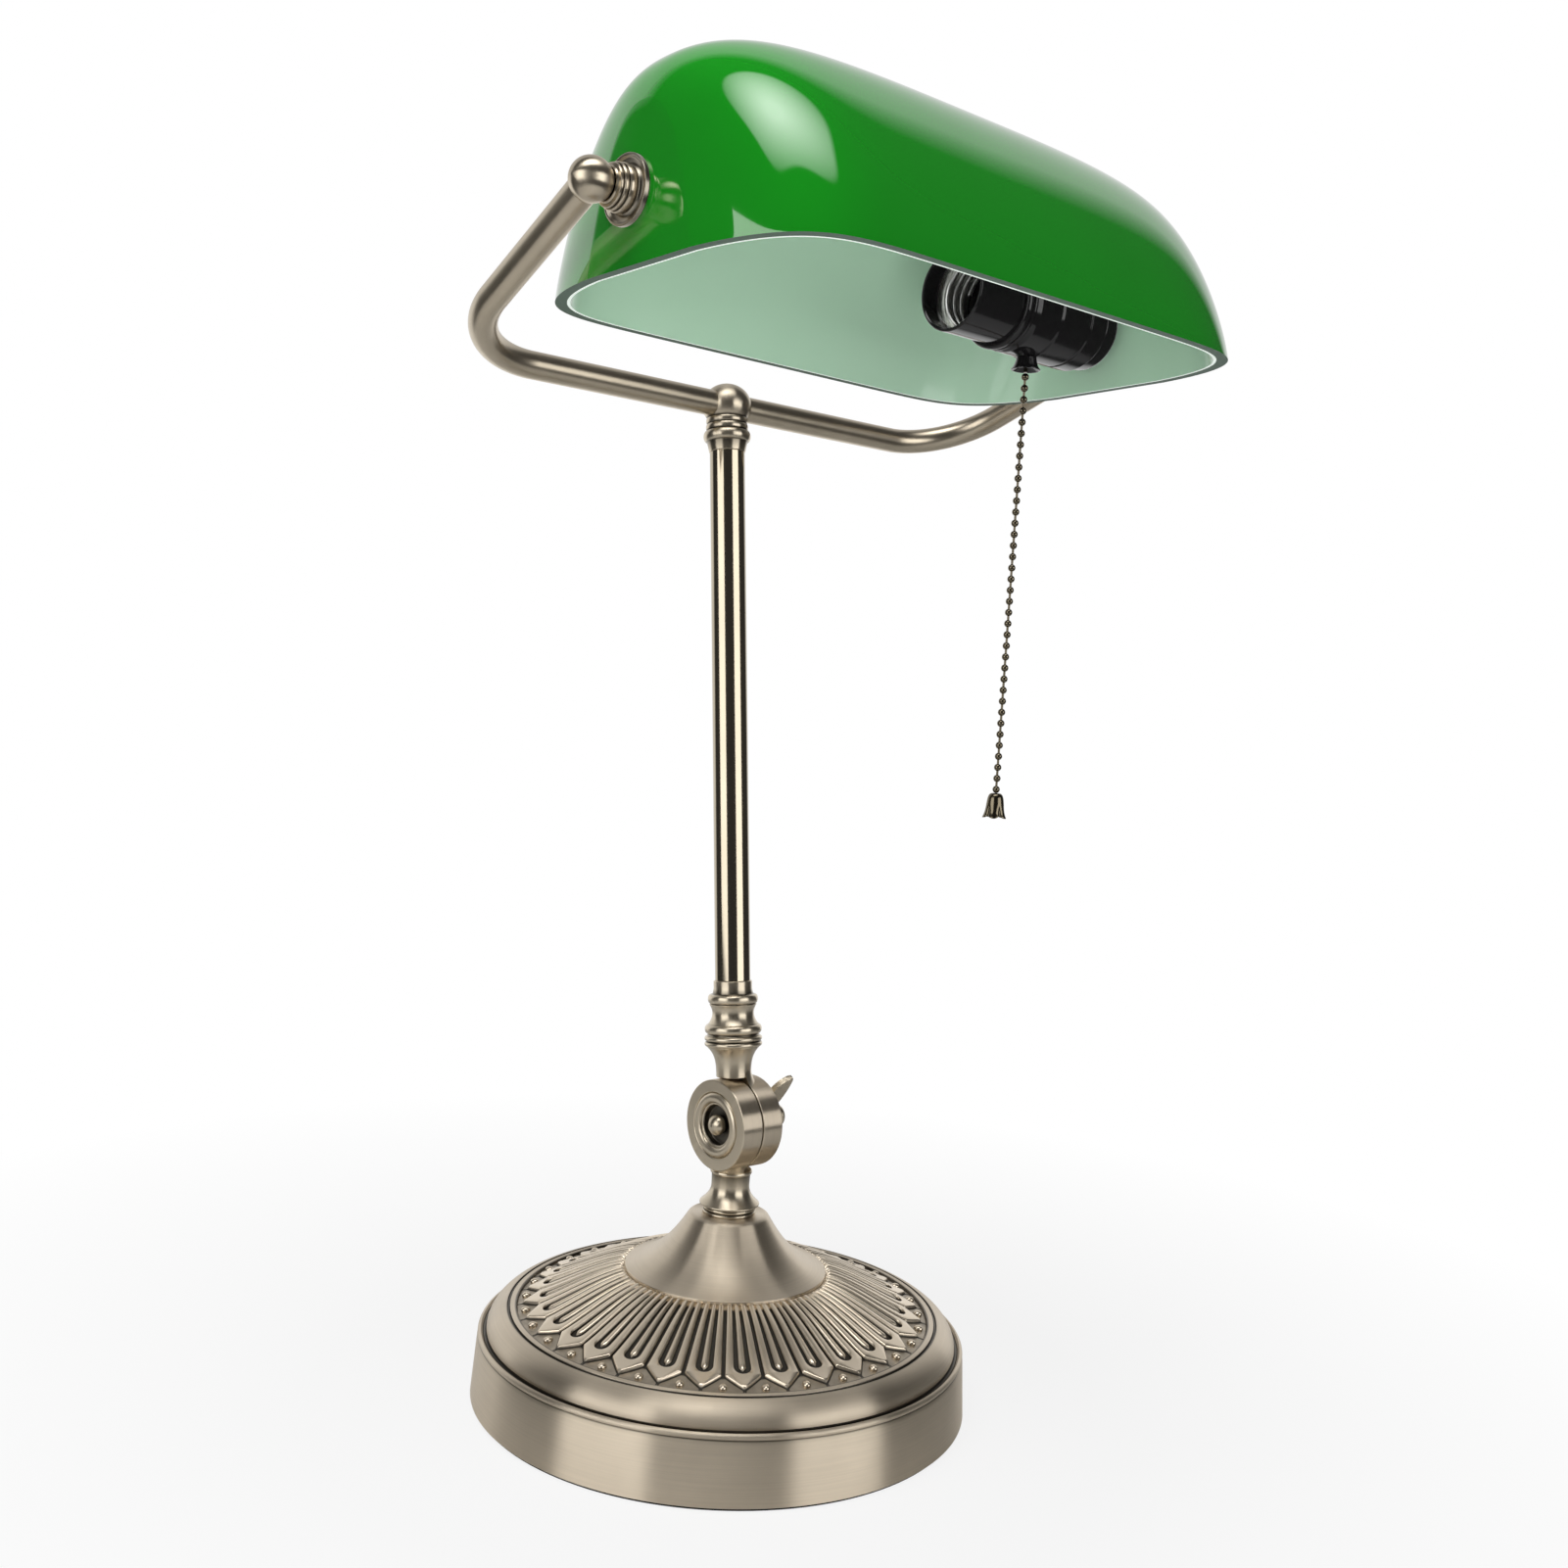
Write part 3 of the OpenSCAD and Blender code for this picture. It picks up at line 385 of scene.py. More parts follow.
class Recipe(Tree):
    """A Geometry Nodes tree with named sizes, run once on a starting mesh."""

    KINDS = {int: "NodeSocketInt", float: "NodeSocketFloat", tuple: "NodeSocketVector"}

    def __init__(self, name, **sizes):
        super().__init__(bpy.data.node_groups.new(name, "GeometryNodeTree"))
        self.sizes, self.ids = sizes, {}
        face = self.tree.interface
        face.new_socket("Geometry", in_out="INPUT", socket_type="NodeSocketGeometry")
        face.new_socket("Geometry", in_out="OUTPUT", socket_type="NodeSocketGeometry")
        for label, value in sizes.items():
            kind = self.KINDS.get(type(value), "NodeSocketMaterial")
            socket = face.new_socket(label, in_out="INPUT", socket_type=kind)
            self.ids[label] = socket.identifier
        self.given = self.tree.nodes.new("NodeGroupInput").outputs

    def make(self, kind, sockets=(), **settings):
        """Adds a Geometry Nodes node and returns what it makes."""
        return self.add("GeometryNode" + kind, sockets, **settings).outputs[0]

    def vector(self, x, y, z):
        return self.add("ShaderNodeCombineXYZ", {0: x, 1: y, 2: z}).outputs[0]

    def join(self, *parts):
        both = self.add("GeometryNodeJoinGeometry")
        for part in parts:
            self.tree.links.new(part, both.inputs[0])
        return both.outputs[0]

    def run(self, name, geometry, start):
        """Ends the tree, runs it on the starting mesh and returns the plain result."""
        whole = self.make("RealizeInstances", {"Geometry": geometry})
        smooth = self.make("SetShadeSmooth", {"Geometry": whole})
        coated = self.make("SetMaterial", {"Geometry": smooth, "Material": self.given["Finish"]})
        end = self.tree.nodes.new("NodeGroupOutput")
        self.tree.links.new(coated, end.inputs[0])
        carrier = in_scene(name + "_start", start)
        modifier = carrier.modifiers.new("recipe", "NODES")
        modifier.node_group = self.tree
        for label, value in self.sizes.items():
            modifier[self.ids[label]] = value
        depsgraph = bpy.context.evaluated_depsgraph_get()
        mesh = bpy.data.meshes.new_from_object(carrier.evaluated_get(depsgraph))
        bpy.data.objects.remove(carrier)
        mesh.name = name
        return in_scene(name, mesh)


# Finishes
CLOUD_TONES = 0.93, 1.05
# Edge tone brightens worn edges; crevice and groove tones paint shade into recesses
EDGE_TONE, CREVICE_SHADE_TONE, GROOVE_SHADE_TONE, STROKE_TONE = 1.3, 0.45, 0.15, 0.5
EDGE_POINT, CREVICE_POINT, CREVICE_SHADE_SHARE, GROOVE_SHADE_SHARE = (0.5, 0.56), (0.47, 0.43), 0.6, 0.9
STROKE_STRETCH, STROKE_RANGE, STROKE_GAIN = (22.0, 1500.0, 1.0), (0.35, 0.65), 2.0
LINE_STRETCH, LINE_HEIGHT = (70.0, 6500.0, 1.0), 0.0002


def finish(name, colour, roughness, metallic=0.0, **fixed):
    """A Principled material; fixed values go straight on the shader's own sockets."""
    made = bpy.data.materials.new(name)
    made.use_nodes = True
    tree = Tree(made.node_tree)
    shader = made.node_tree.nodes["Principled BSDF"]
    shader.inputs["Base Color"].default_value = (*colour, 1)
    shader.inputs["Roughness"].default_value = roughness
    shader.inputs["Metallic"].default_value = metallic
    for key, value in fixed.items():
        shader.inputs[key.replace("_", " ")].default_value = value
    made.diffuse_color = (*colour, 1)
    return made, tree, shader


def shade_of(colour, factor):
    return (*(c*factor for c in colour), 1)


def lathe_noise(tree, uv, stretch):
    """Noise drawn out round the piece, along the first direction of its map."""
    laid = tree.add("ShaderNodeMapping", {"Vector": uv, "Scale": stretch})
    return tree.noise(laid.outputs[0], 1.0, 3.0)


def worked_metal(name, colour, roughness, grain=0.0, brushed=0.0, cloud_scale=40.0, edge=0.25):
    """Plated metal: cloudy tone, fine lathe lines along the map and brighter edges, with painted
    shade darkening its crevices and grooves."""
    made, tree, shader = finish(name, colour, roughness, 1.0,
                                Anisotropic=brushed, Anisotropic_Rotation=0.25)
    coords = tree.add("ShaderNodeTexCoord").outputs
    cloud = tree.noise_share(tree.noise(coords["Object"], cloud_scale, 6.0))
    tone = tree.blend(cloud, *(shade_of(colour, factor) for factor in CLOUD_TONES))
    wear_and_shade = tree.add("ShaderNodeNewGeometry").outputs["Pointiness"]
    hollow = tree.add("ShaderNodeAttribute", attribute_name="hollow").outputs["Fac"]
    # Pointiness brightens edges as wear and darkens crevices as painted shade; the groove share
    # darkens grooves as painted shade
    layers = [(tree.spread(wear_and_shade, *EDGE_POINT, 0.0, edge), EDGE_TONE),
              (tree.spread(wear_and_shade, *CREVICE_POINT, 0.0, CREVICE_SHADE_SHARE), CREVICE_SHADE_TONE),
              (tree.spread(hollow, 0.0, 1.0, 0.0, GROOVE_SHADE_SHARE), GROOVE_SHADE_TONE)]
    if grain:
        stroke = lathe_noise(tree, coords["UV"], STROKE_STRETCH)
        share = tree.spread(stroke, *STROKE_RANGE, 0.0, STROKE_GAIN*grain)
        layers.append((share, STROKE_TONE))
        lines = lathe_noise(tree, coords["UV"], LINE_STRETCH)
        tree.put(shader.inputs["Normal"], tree.bump(grain, LINE_HEIGHT, lines))
    for share, factor in layers:
        tone = tree.blend(share, tone, shade_of(colour, factor))
    tree.put(shader.inputs["Base Color"], tone)
    smudge = tree.noise(coords["Object"], 3*cloud_scale, 4.0)
    tree.put(shader.inputs["Roughness"], tree.noise_share(smudge, 0.96*roughness, 1.05*roughness))
    if brushed:
        tangent = tree.add("ShaderNodeTangent", direction_type="UV_MAP", uv_map="UVMap")
        tree.put(shader.inputs["Tangent"], tangent.outputs[0])
    return made


def ornament_finish(name, colour, roughness, ground, raised, ground_roughness, raised_roughness):
    """Cast ornament: dark patina in the ground, rubbed bright on the raised petals and ribs."""
    made, tree, shader = finish(name, colour, roughness, 1.0)
    coords = tree.add("ShaderNodeTexCoord").outputs
    relief = tree.add("ShaderNodeAttribute", attribute_name="relief").outputs["Fac"]
    fine = tree.noise(coords["Object"], 260.0, 6.0)
    height = tree.math("ADD", relief, tree.times(fine, 0.3))
    rubbed = tree.spread(height, 0.35, 0.95)
    tree.put(shader.inputs["Base Color"], tree.blend(rubbed, ground, raised))
    rough = tree.spread(rubbed, 0.0, 1.0, ground_roughness, raised_roughness)
    tree.put(shader.inputs["Roughness"], rough)
    tree.put(shader.inputs["Normal"], tree.bump(0.12, 0.0003, fine))
    return made


def glass_finish(name, deep, light, roughness, bump, gloss):
    """Cased glass seen as a glossy skin: the colour drifts slowly, with faint waves of the blown
    surface."""
    made, tree, shader = finish(name, deep, roughness, IOR=1.5, Specular_IOR_Level=gloss,
                                Coat_Weight=gloss, Coat_Roughness=0.02)
    coords = tree.add("ShaderNodeTexCoord").outputs
    drift = tree.noise_share(tree.noise(coords["Object"], 9.0, 3.0))
    tone = tree.blend(drift, shade_of(deep, 1), shade_of(light, 1))
    tree.put(shader.inputs["Base Color"], tone)
    waves = tree.noise(coords["Object"], 24.0, 1.0)
    tree.put(shader.inputs["Normal"], tree.bump(bump, 0.001, waves))
    tree.put(shader.inputs["Roughness"], tree.noise_share(waves, 0.8*roughness, 1.3*roughness))
    return made


def moulded_finish(name, colour, roughness, speck, bump, **fixed):
    """Moulded plastic, rubber, felt or ground glass: fine speckle in tone and gloss."""
    made, tree, shader = finish(name, colour, roughness, **fixed)
    coords = tree.add("ShaderNodeTexCoord").outputs
    grit = tree.noise(coords["Object"], speck, 4.0)
    tone = tree.blend(grit, shade_of(colour, 0.7), shade_of(colour, 1.4))
    tree.put(shader.inputs["Base Color"], tone)
    tree.put(shader.inputs["Roughness"], tree.noise_share(grit, 0.85*roughness, 1.2*roughness))
    tree.put(shader.inputs["Normal"], tree.bump(bump, 0.0002, grit))
    return made


BRASS, LATHE_BRASS = (0.70, 0.605, 0.475), (0.67, 0.585, 0.45)
satin_brass = worked_metal("satin_brass", BRASS, 0.37, grain=0.05, brushed=1.0)
smooth_brass = worked_metal("smooth_brass", (0.62, 0.54, 0.415), 0.31)
turned_brass = worked_metal("turned_brass", LATHE_BRASS, 0.30, grain=0.03, brushed=0.75)
faced_brass = worked_metal("faced_brass", LATHE_BRASS, 0.32)
# Near-black brass that paints shade into the bolt's cup and the cover's groove and line
painted_shade_brass = worked_metal("painted_shade_brass", (0.16, 0.145, 0.12), 0.4)
polished_brass = worked_metal("polished_brass", (0.48, 0.42, 0.32), 0.12, cloud_scale=25.0)
aged_brass = worked_metal("aged_brass", (0.40, 0.36, 0.29), 0.28, edge=0.9)
dark_brass = worked_metal("dark_brass", (0.17, 0.145, 0.10), 0.17, edge=0.1)
grey_iron = worked_metal("grey_iron", (0.22, 0.22, 0.22), 0.55, cloud_scale=90.0)
plain_steel = worked_metal("plain_steel", (0.55, 0.55, 0.54), 0.3)
shell_metal = worked_metal("shell_metal", (0.80, 0.82, 0.78), 0.34)
ornament_brass = ornament_finish("ornament_brass", BRASS, 0.34, ground=(0.085, 0.078, 0.066, 1),
                                 raised=shade_of(BRASS, 1.2), ground_roughness=0.6,
                                 raised_roughness=0.29)
green_glass = glass_finish("green_glass", deep=(0.003, 0.195, 0.005), light=(0.004, 0.235, 0.007),
                           roughness=0.04, bump=0.02, gloss=0.85)
opal_glass = glass_finish("opal_glass", deep=(0.60, 0.88, 0.66), light=(0.65, 0.93, 0.71),
                          roughness=0.2, bump=0.02, gloss=0.3)
ground_glass = moulded_finish("ground_glass", (0.11, 0.17, 0.13), 0.6, speck=900.0, bump=0.1)
# Painted light: the opal's ground edge glows, standing for light that enters the opal layer and
# leaves it at the edge
glowing_opal_edge = moulded_finish("glowing_opal_edge", (0.75, 0.84, 0.77), 0.5, speck=900.0, bump=0.05,
                           Emission_Color=(0.9, 1.0, 0.93, 1.0), Emission_Strength=0.45)
black_plastic = moulded_finish("black_plastic", (0.012, 0.011, 0.012), 0.11,
                               speck=700.0, bump=0.015)
black_felt = moulded_finish("black_felt", (0.012, 0.012, 0.012), 0.9, speck=1500.0, bump=0.5)


def settle(piece, node, slot, *materials):
    """The piece takes the node's place on its body."""
    if materials:
        coats = [face.material_index for face in piece.data.polygons]
        piece.data.materials.clear()
        for material in materials:
            piece.data.materials.append(material)
        piece.data.polygons.foreach_set("material_index", coats)
    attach(piece, BODY_OF[node])
    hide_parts(node)


# Base
def ogee(r):
    u = (RING_R - r)/(RING_R - FOOT_R)
    return RING_RIM_Z + RING_RISE*(0.5*u + 0.5*u*u*(3 - 2*u))


def ogee_line(start, stop, up, n=18):
    return [(r, ogee(r) + up) for r in (start + (stop - start)*i/n for i in range(n + 1))]


def base_cover():
    """Spun cover: a drafted wall, a rolled bead over a cove, a groove, a round shoulder and a line
    round its lip. The groove and the line get the second coat."""
    shoulder, wall_r = (GROOVE_R - SHOULDER_W, WALL_TOP), BASE_R - WALL_DRAFT
    groove_z, line_deep, seat_r, ring_under = WALL_TOP - 1.1, 0.7, RING_R + 0.02, RING_RIM_Z - RING_T
    top = [(BASE_R, PAD_T), (wall_r + 0.2, WALL_TOP - 3.8), (wall_r - 0.2, WALL_TOP - 2.7)]
    top += arc((wall_r - BEAD_R, WALL_TOP - BEAD_R), BEAD_R, BEAD_R, -50, 90)
    top += [(GROOVE_R + 1.1, groove_z), (GROOVE_R + 0.1, groove_z)]
    top += arc(shoulder, SHOULDER_W, SHOULDER_H, 0, 74, 26)
    lip_r, lip_z = top[-1]
    top += [(lip_r - 0.25, lip_z - line_deep), (lip_r - 0.95, lip_z - line_deep)]
    top += arc(shoulder, SHOULDER_W, SHOULDER_H, 81, 90, 4)
    top += [(seat_r, LIP_Z), (seat_r, ring_under), (RING_R, ring_under)]
    top += ogee_line(RING_R - 1, FOOT_R, -RING_T - 0.3) + [(STEM_R, SEAT_Z)]
    under = [(STEM_R, SEAT_Z - SHEET_T)]
    under += ogee_line(FOOT_R, RING_R - SHEET_T, -RING_T - SHEET_T)
    under += arc(shoulder, SHOULDER_W - SHEET_T, SHOULDER_H - SHEET_T, 60, 0, 10)
    under += [(GROOVE_R - SHEET_T, WALL_TOP - 2*SHEET_T),
              (BASE_R - WALL_DRAFT - SHEET_T, WALL_TOP - 3*SHEET_T), (BASE_R - SHEET_T, PAD_T)]
    cover = turned("base_cover", eased(top, 0.35) + under, closed=True, segments=FINE_SEGMENTS)
    # The second coat is dark brass that paints shade into the groove and the line
    for face in cover.data.polygons:
        r, z = face.center.xy.length*1000, face.center.z*1000
        in_groove = GROOVE_R < r < GROOVE_R + 1.4 and WALL_TOP - 1.2 < z < WALL_TOP - 0.25
        in_line = lip_r - 1.3 < r < lip_r and lip_z - 0.8 < z < lip_z - 0.1
        face.material_index = int(in_groove or in_line)
    return cover


# Ornament: share of a rub that the flat ground between the petals' tips gets
GROUND_RUB = 0.5
RIB_SPOTS = 0.0, 0.4, 0.72, 0.92, 1.0
ROW_SPOTS = 14


def petal_rows():
    """Radii of the grid's rows from rim to foot, closer together where an outline bends."""
    radii = [RING_R - 0.25, RING_R - 0.7, RING_R - 1.5]
    tip = [PETAL_TIP_R + 0.3 - 0.45*k for k in range(14)]
    radii += [r for r in tip if r > PETAL_SHOULDER_R]
    radii += [PETAL_SHOULDER_R, PETAL_SHOULDER_R - 0.5, CHANNEL_END_R + CHANNEL_W/2 + 0.05]
    radii += [CHANNEL_END_R + CHANNEL_W/2*math.cos(math.radians(w))
              for w in (14, 26, 38, 50, 62, 76, 90)]
    radii += [CHANNEL_END_R - 1.2 - 1.55*k for k in range(17)]
    radii = sorted({round(r, 4) for r in radii if r > PETAL_ROOT_R + 0.2}, reverse=True)
    return radii + [PETAL_ROOT_R, PETAL_ROOT_R - 0.5, PETAL_ROOT_R - 1.2, FOOT_R]


def petal_half(r):
    full = r*math.tan(HALF_TURN) - PETAL_GAP/2
    shoulder = PETAL_SHOULDER_R*math.tan(HALF_TURN) - PETAL_GAP/2
    if r <= PETAL_SHOULDER_R:
        return full
    return max(shoulder*(PETAL_TIP_R - r)/(PETAL_TIP_R - PETAL_SHOULDER_R), 0.0)


def round_ended(r, end_r, width):
    """Half the width of a channel or rib that widens outwards to a round end."""
    taper = PETAL_ROOT_R/PETAL_SHOULDER_R
    share = min((r - PETAL_ROOT_R)/(end_r - PETAL_ROOT_R), 1.0)
    past = r - end_r
    if past <= 0:
        return width/2*(taper + (1 - taper)*share)
    return math.sqrt(max((width/2)**2 - past*past, 0.0))


def petal_columns(r):
    """(distance from the petal's middle, share of the relief, rubbed share) out to the sector's
    edge."""
    edge = r*math.tan(HALF_TURN)
    fade = smoothstep((r - FOOT_R)/1.6) if r < PETAL_ROOT_R else 1.0
    petal = petal_half(r)
    channel = min(round_ended(r, CHANNEL_END_R, CHANNEL_W), max(petal - 0.5, 0))
    rib = min(round_ended(r, CHANNEL_END_R - 0.6, RIB_W), max(channel - 0.35, 0))
    rib_top = 0.95*math.sqrt(min(rib/(RIB_W/2*0.6), 1.0))
    in_channel = min(channel/0.5, 1.0)
    crest = min(petal/0.8, 1.0)
    floor = (1 - in_channel)*crest
    rise = rib_top - floor if rib > 0.02 else 0.0
    spots = [(rib*w, floor + rise*math.sqrt(max(1 - w*w, 0))) for w in RIB_SPOTS]
    slope = min(0.28, 0.3*channel)
    spots += [(max(channel - slope, rib), floor), (channel, crest*(1 - 0.1*in_channel))]
    bevel = min(0.45, 0.3*petal)
    inner = channel + min(0.25, 0.2*(petal - channel))
    spots += [(inner, crest), ((inner + petal - bevel)/2, crest), (petal - bevel, crest)]
    spots += [(petal - 0.35*bevel, 0.86*crest), (petal, 0.62*crest)]
    if r > PETAL_TIP_R + 0.35:
        columns = [(y, h*fade, GROUND_RUB) for y, h in spots]
    else:
        columns = [(y, h*fade, h*fade if r > PETAL_ROOT_R else 1.0) for y, h in spots]
    # Painted shade: the ground right beside each petal and in the narrow gaps stays dark; further
    # out it takes the ground's rub
    gap = edge - petal
    for away in (min(0.2, 0.25*gap), min(0.8, 0.6*gap), gap):
        wear_and_shade = GROUND_RUB*smoothstep((away - 0.25)/0.55)*smoothstep(r - PETAL_SHOULDER_R)
        columns.append((petal + away, 0.0, wear_and_shade if r > PETAL_ROOT_R else 1.0))
    return columns


def plain_columns(r):
    rub = 0.0 if r > PETAL_ROOT_R else 1.0
    return [(r*math.tan(HALF_TURN)*i/ROW_SPOTS, 0.0, rub) for i in range(ROW_SPOTS + 1)]


def petal_sector():
    """One closed sector of the ornament ring, with grid lines that follow the petal, its channel
    and its rib."""
    bm = bmesh.new()
    relief = bm.verts.layers.float.new("relief")
    rows = []

    def add_row(spots, r, z_of):
        row = []
        for y, h, rub in [(-y, h, rub) for y, h, rub in reversed(spots)][:-1] + spots:
            turn_by = math.atan2(y, r)
            vert = bm.verts.new((r*math.cos(turn_by), r*math.sin(turn_by), z_of(r, h)))
            vert[relief] = rub
            row.append(vert)
        rows.append(row)

    add_row(plain_columns(RING_R), RING_R, lambda r, h: RING_RIM_Z - RING_T)
    add_row(plain_columns(RING_R), RING_R, lambda r, h: RING_RIM_Z - 0.2)
    for r in petal_rows():
        add_row(petal_columns(r), r, lambda r, h: ogee(r) + RELIEF*h)
    add_row(plain_columns(RING_INNER_R), RING_INNER_R, lambda r, h: FOOT_Z)
    add_row(plain_columns(RING_INNER_R), RING_INNER_R, lambda r, h: SEAT_Z)
    for k in range(7):
        r = FOOT_R + (RING_R - 1 - FOOT_R)*k/6
        add_row(plain_columns(r), r, lambda r, h: ogee(r) - RING_T)
    for i, row in enumerate(rows):
        following = rows[(i + 1) % len(rows)]
        for k in range(len(row) - 1):
            bm.faces.new([row[k], row[k + 1], following[k + 1], following[k]])
    bm.transform(TO_METRES)
    return mesh_of("petal_sector", bm)


def ornament_ring():
    """The petal's sector and one dot between two tips, repeated round the base."""
    recipe = Recipe("petals_round_the_base", Petals=PETALS, Dot_size=DOT_R*MM,
                    Dot_place=DOT_PLACE_R*MM, Dot_height=(ogee(DOT_PLACE_R) + DOT_UP)*MM,
                    Finish=ornament_brass)
    given, make, times = recipe.given, recipe.make, recipe.times
    step = recipe.math("DIVIDE", 2*math.pi, given["Petals"])
    dot = make("MeshIcoSphere", {"Radius": given["Dot_size"], "Subdivisions": 3})
    half = times(step, 0.5)
    spot = recipe.vector(times(given["Dot_place"], recipe.math("COSINE", half)),
                         times(given["Dot_place"], recipe.math("SINE", half)),
                         given["Dot_height"])
    placed = make("Transform", {"Geometry": dot, "Translation": spot, "Scale": (1.1, 0.9, 0.8)})
    bright = make("StoreNamedAttribute", {"Geometry": placed, "Name": "relief", "Value": 1.0})
    sector = recipe.join(given["Geometry"], bright)
    line = make("MeshLine", {"Count": given["Petals"], "Offset": (0.0, 0.0, 0.0)})
    angle = recipe.vector(0.0, 0.0, times(make("InputIndex"), step))
    turned_by = recipe.add("FunctionNodeEulerToRotation", {0: angle}).outputs[0]
    round_z = make("InstanceOnPoints", {"Points": line, "Instance": sector, "Rotation": turned_by})
    whole = make("RealizeInstances", {"Geometry": round_z})
    joined = make("MergeByDistance", {"Geometry": whole, "Distance": 0.000008})
    return face_outwards(recipe.run("ornament_ring", joined, petal_sector()), 60)


def bell():
    """Spun cone with a flat top, a rounded shoulder and a hollow flank that runs out to a thin
    lip."""
    lip, ease, height = 1.2, 1.6, BELL_TOP_Z - FOOT_Z
    flank = [(0.68*FOOT_R, FOOT_Z + 0.2*height), (0.515*FOOT_R, FOOT_Z + 0.65*height)]
    shoulder = arc((BELL_TOP_R, BELL_TOP_Z - ease), 1.3*ease, ease, 26, 90, 14)
    skin = curve((FOOT_R, FOOT_Z + lip), *flank, shoulder[0], 48)
    inside = curve((FOOT_R - SHEET_T, FOOT_Z), *((r - SHEET_T, z - SHEET_T) for r, z in flank),
                   (BELL_TOP_R + 0.4, BELL_TOP_Z - SHEET_T))
    outer = eased([(FOOT_R - 1, FOOT_Z), (FOOT_R, FOOT_Z)] + skin + shoulder[1:]
                  + [(STEM_R, BELL_TOP_Z), (STEM_R, BELL_TOP_Z - SHEET_T)], 0.4)
    return turned("bell", outer + inside[::-1], closed=True)


def cord_gland():
    place = about("Z", GLAND_TURN) @ shift_z(GLAND_Z) @ ALONG_X
    back, front = BASE_R - GLAND_IN, BASE_R + GLAND_OUT
    points = [(GLAND_BORE_R, back), (GLAND_R, back), (GLAND_R, BASE_R),
              (GLAND_R + GLAND_RIM, BASE_R), (GLAND_R, front), (GLAND_BORE_R, front),
              (GLAND_BORE_R, BASE_R)]
    return turned("cord_gland_piece", eased(points, 0.5), place, closed=True, segments=64)


# Knuckle
def flare(bm, r, up, low_x, high_x, place):
    """The neck runs out to the disc's rim in a round fillet, cut to the disc's thickness."""
    centre_r = r + DISC_FILLET
    high = math.sqrt((DISC_R + DISC_FILLET)**2 - centre_r**2)
    low = math.degrees(math.atan2(high, centre_r))
    points = [(0, high)]
    points += arc((centre_r, high), DISC_FILLET, DISC_FILLET, 180, 180 + low, 18)
    points += [(DISC_R*math.cos(math.radians(low)), DISC_R/2), (0, DISC_R/2)]
    part = bmesh.new()
    turn(part, [(x, up*z) for x, z in points])
    for x, out in ((low_x, -1), (high_x, 1)):
        everything = part.verts[:] + part.edges[:] + part.faces[:]
        cut = bmesh.ops.bisect_plane(part, geom=everything, plane_co=(x, 0, 0),
                                     plane_no=(out, 0, 0), clear_outer=True)
        rim = [e for e in cut["geom_cut"] if isinstance(e, bmesh.types.BMEdge)]
        for face in bmesh.ops.contextual_create(part, geom=rim)["faces"]:
            for loop in face.loops:
                loop[uv_map(part)].uv = loop.vert.co.yz*MM
    lay_in(bm, part, place)


def coat_disc(bm, place):
    """The disc's rim gets the coat after its flat face's."""
    bm.normal_update()
    axis = place.to_3x3() @ Vector((1, 0, 0))
    for face in bm.faces:
        if face.material_index == 1 and abs(face.normal.dot(axis)) < 0.7:
            if (face.calc_center_median() - place.translation).length > 0.9*DISC_R:
                face.material_index = 2


def lower_neck():
    """Turned neck, and the front disc with a raised ring round the bolt's cup."""
    h, ring = NECK_TOP_Z - BELL_TOP_Z, NECK_R + 2
    neck = [(0, 10.3), (STEM_R, 10.3), (STEM_R, 0)]
    neck += bead(ring, 0.8, 0, 1.45) + bead(ring, 0.8, 1.6, 3.05)
    neck += [(ring + 1, 3.15), (ring + 2, 3.5)]
    neck += curve((ring + 2, 4), (ring, 5.8), (NECK_R - 0.2, 7.6), (NECK_R - 0.1, 11))
    neck += [(NECK_R, h - 2.2)] + bead(NECK_R + 0.1, 0.5, h - 1.9, h - 0.3) + [(0, h)]
    crest, deep = 0.6*DISC_R, DISC_T - CUP_DEPTH
    face = [(BOLT_R, 0), (DISC_R, 0), (DISC_R, DISC_T), (crest + 2.4, DISC_T)]
    face += [(crest + 1.9, DISC_T - 0.5)] + arc((crest, DISC_T - 0.5), 1.9, 1.1, 8, 180)
    face += [(CUP_R + 0.5, DISC_T - 0.6), (CUP_R, DISC_T - 1.1), (CUP_R, deep), (BOLT_R, deep)]
    bm = bmesh.new()
    turn(bm, eased(neck, 0.25), shift_z(BELL_TOP_Z))
    turn(bm, eased(face, 0.45), AT_KNUCKLE @ shift_x(-DISC_IN) @ AGAINST_X, closed=True, coat=1)
    coat_disc(bm, AT_KNUCKLE)
    # The bolt's cup takes the fourth coat, dark brass as painted shade round the button head
    for cup_face in bm.faces:
        at = cup_face.calc_center_median()
        in_cup = math.hypot(at.y, at.z - KNUCKLE_Z) < CUP_R + 0.1
        if in_cup and -DISC_OUT < at.x < -DISC_IN - deep + 2.4:
            cup_face.material_index = 3
    flare(bm, NECK_R - 0.1, -1, -DISC_OUT + 0.6, -DISC_IN, AT_KNUCKLE)
    return new_piece("lower_neck_piece", bm)


def knuckle_bolt():
    """Bolt with a button head that stands free in the cup of the front disc."""
    seat, tail, shank_r = DISC_OUT - CUP_DEPTH, -CAP_X - CAP_L + 2, BOLT_R - 0.05
    points = [(0, tail), (shank_r, tail), (shank_r, seat + 0.4)]
    points += arc((0, seat + CUP_DEPTH - 1), HEAD_R, 0.7*HEAD_R, -38, 90, 28)
    return turned("bolt_with_button_head", points, AT_KNUCKLE @ AGAINST_X, segments=SMALL_SEGMENTS)


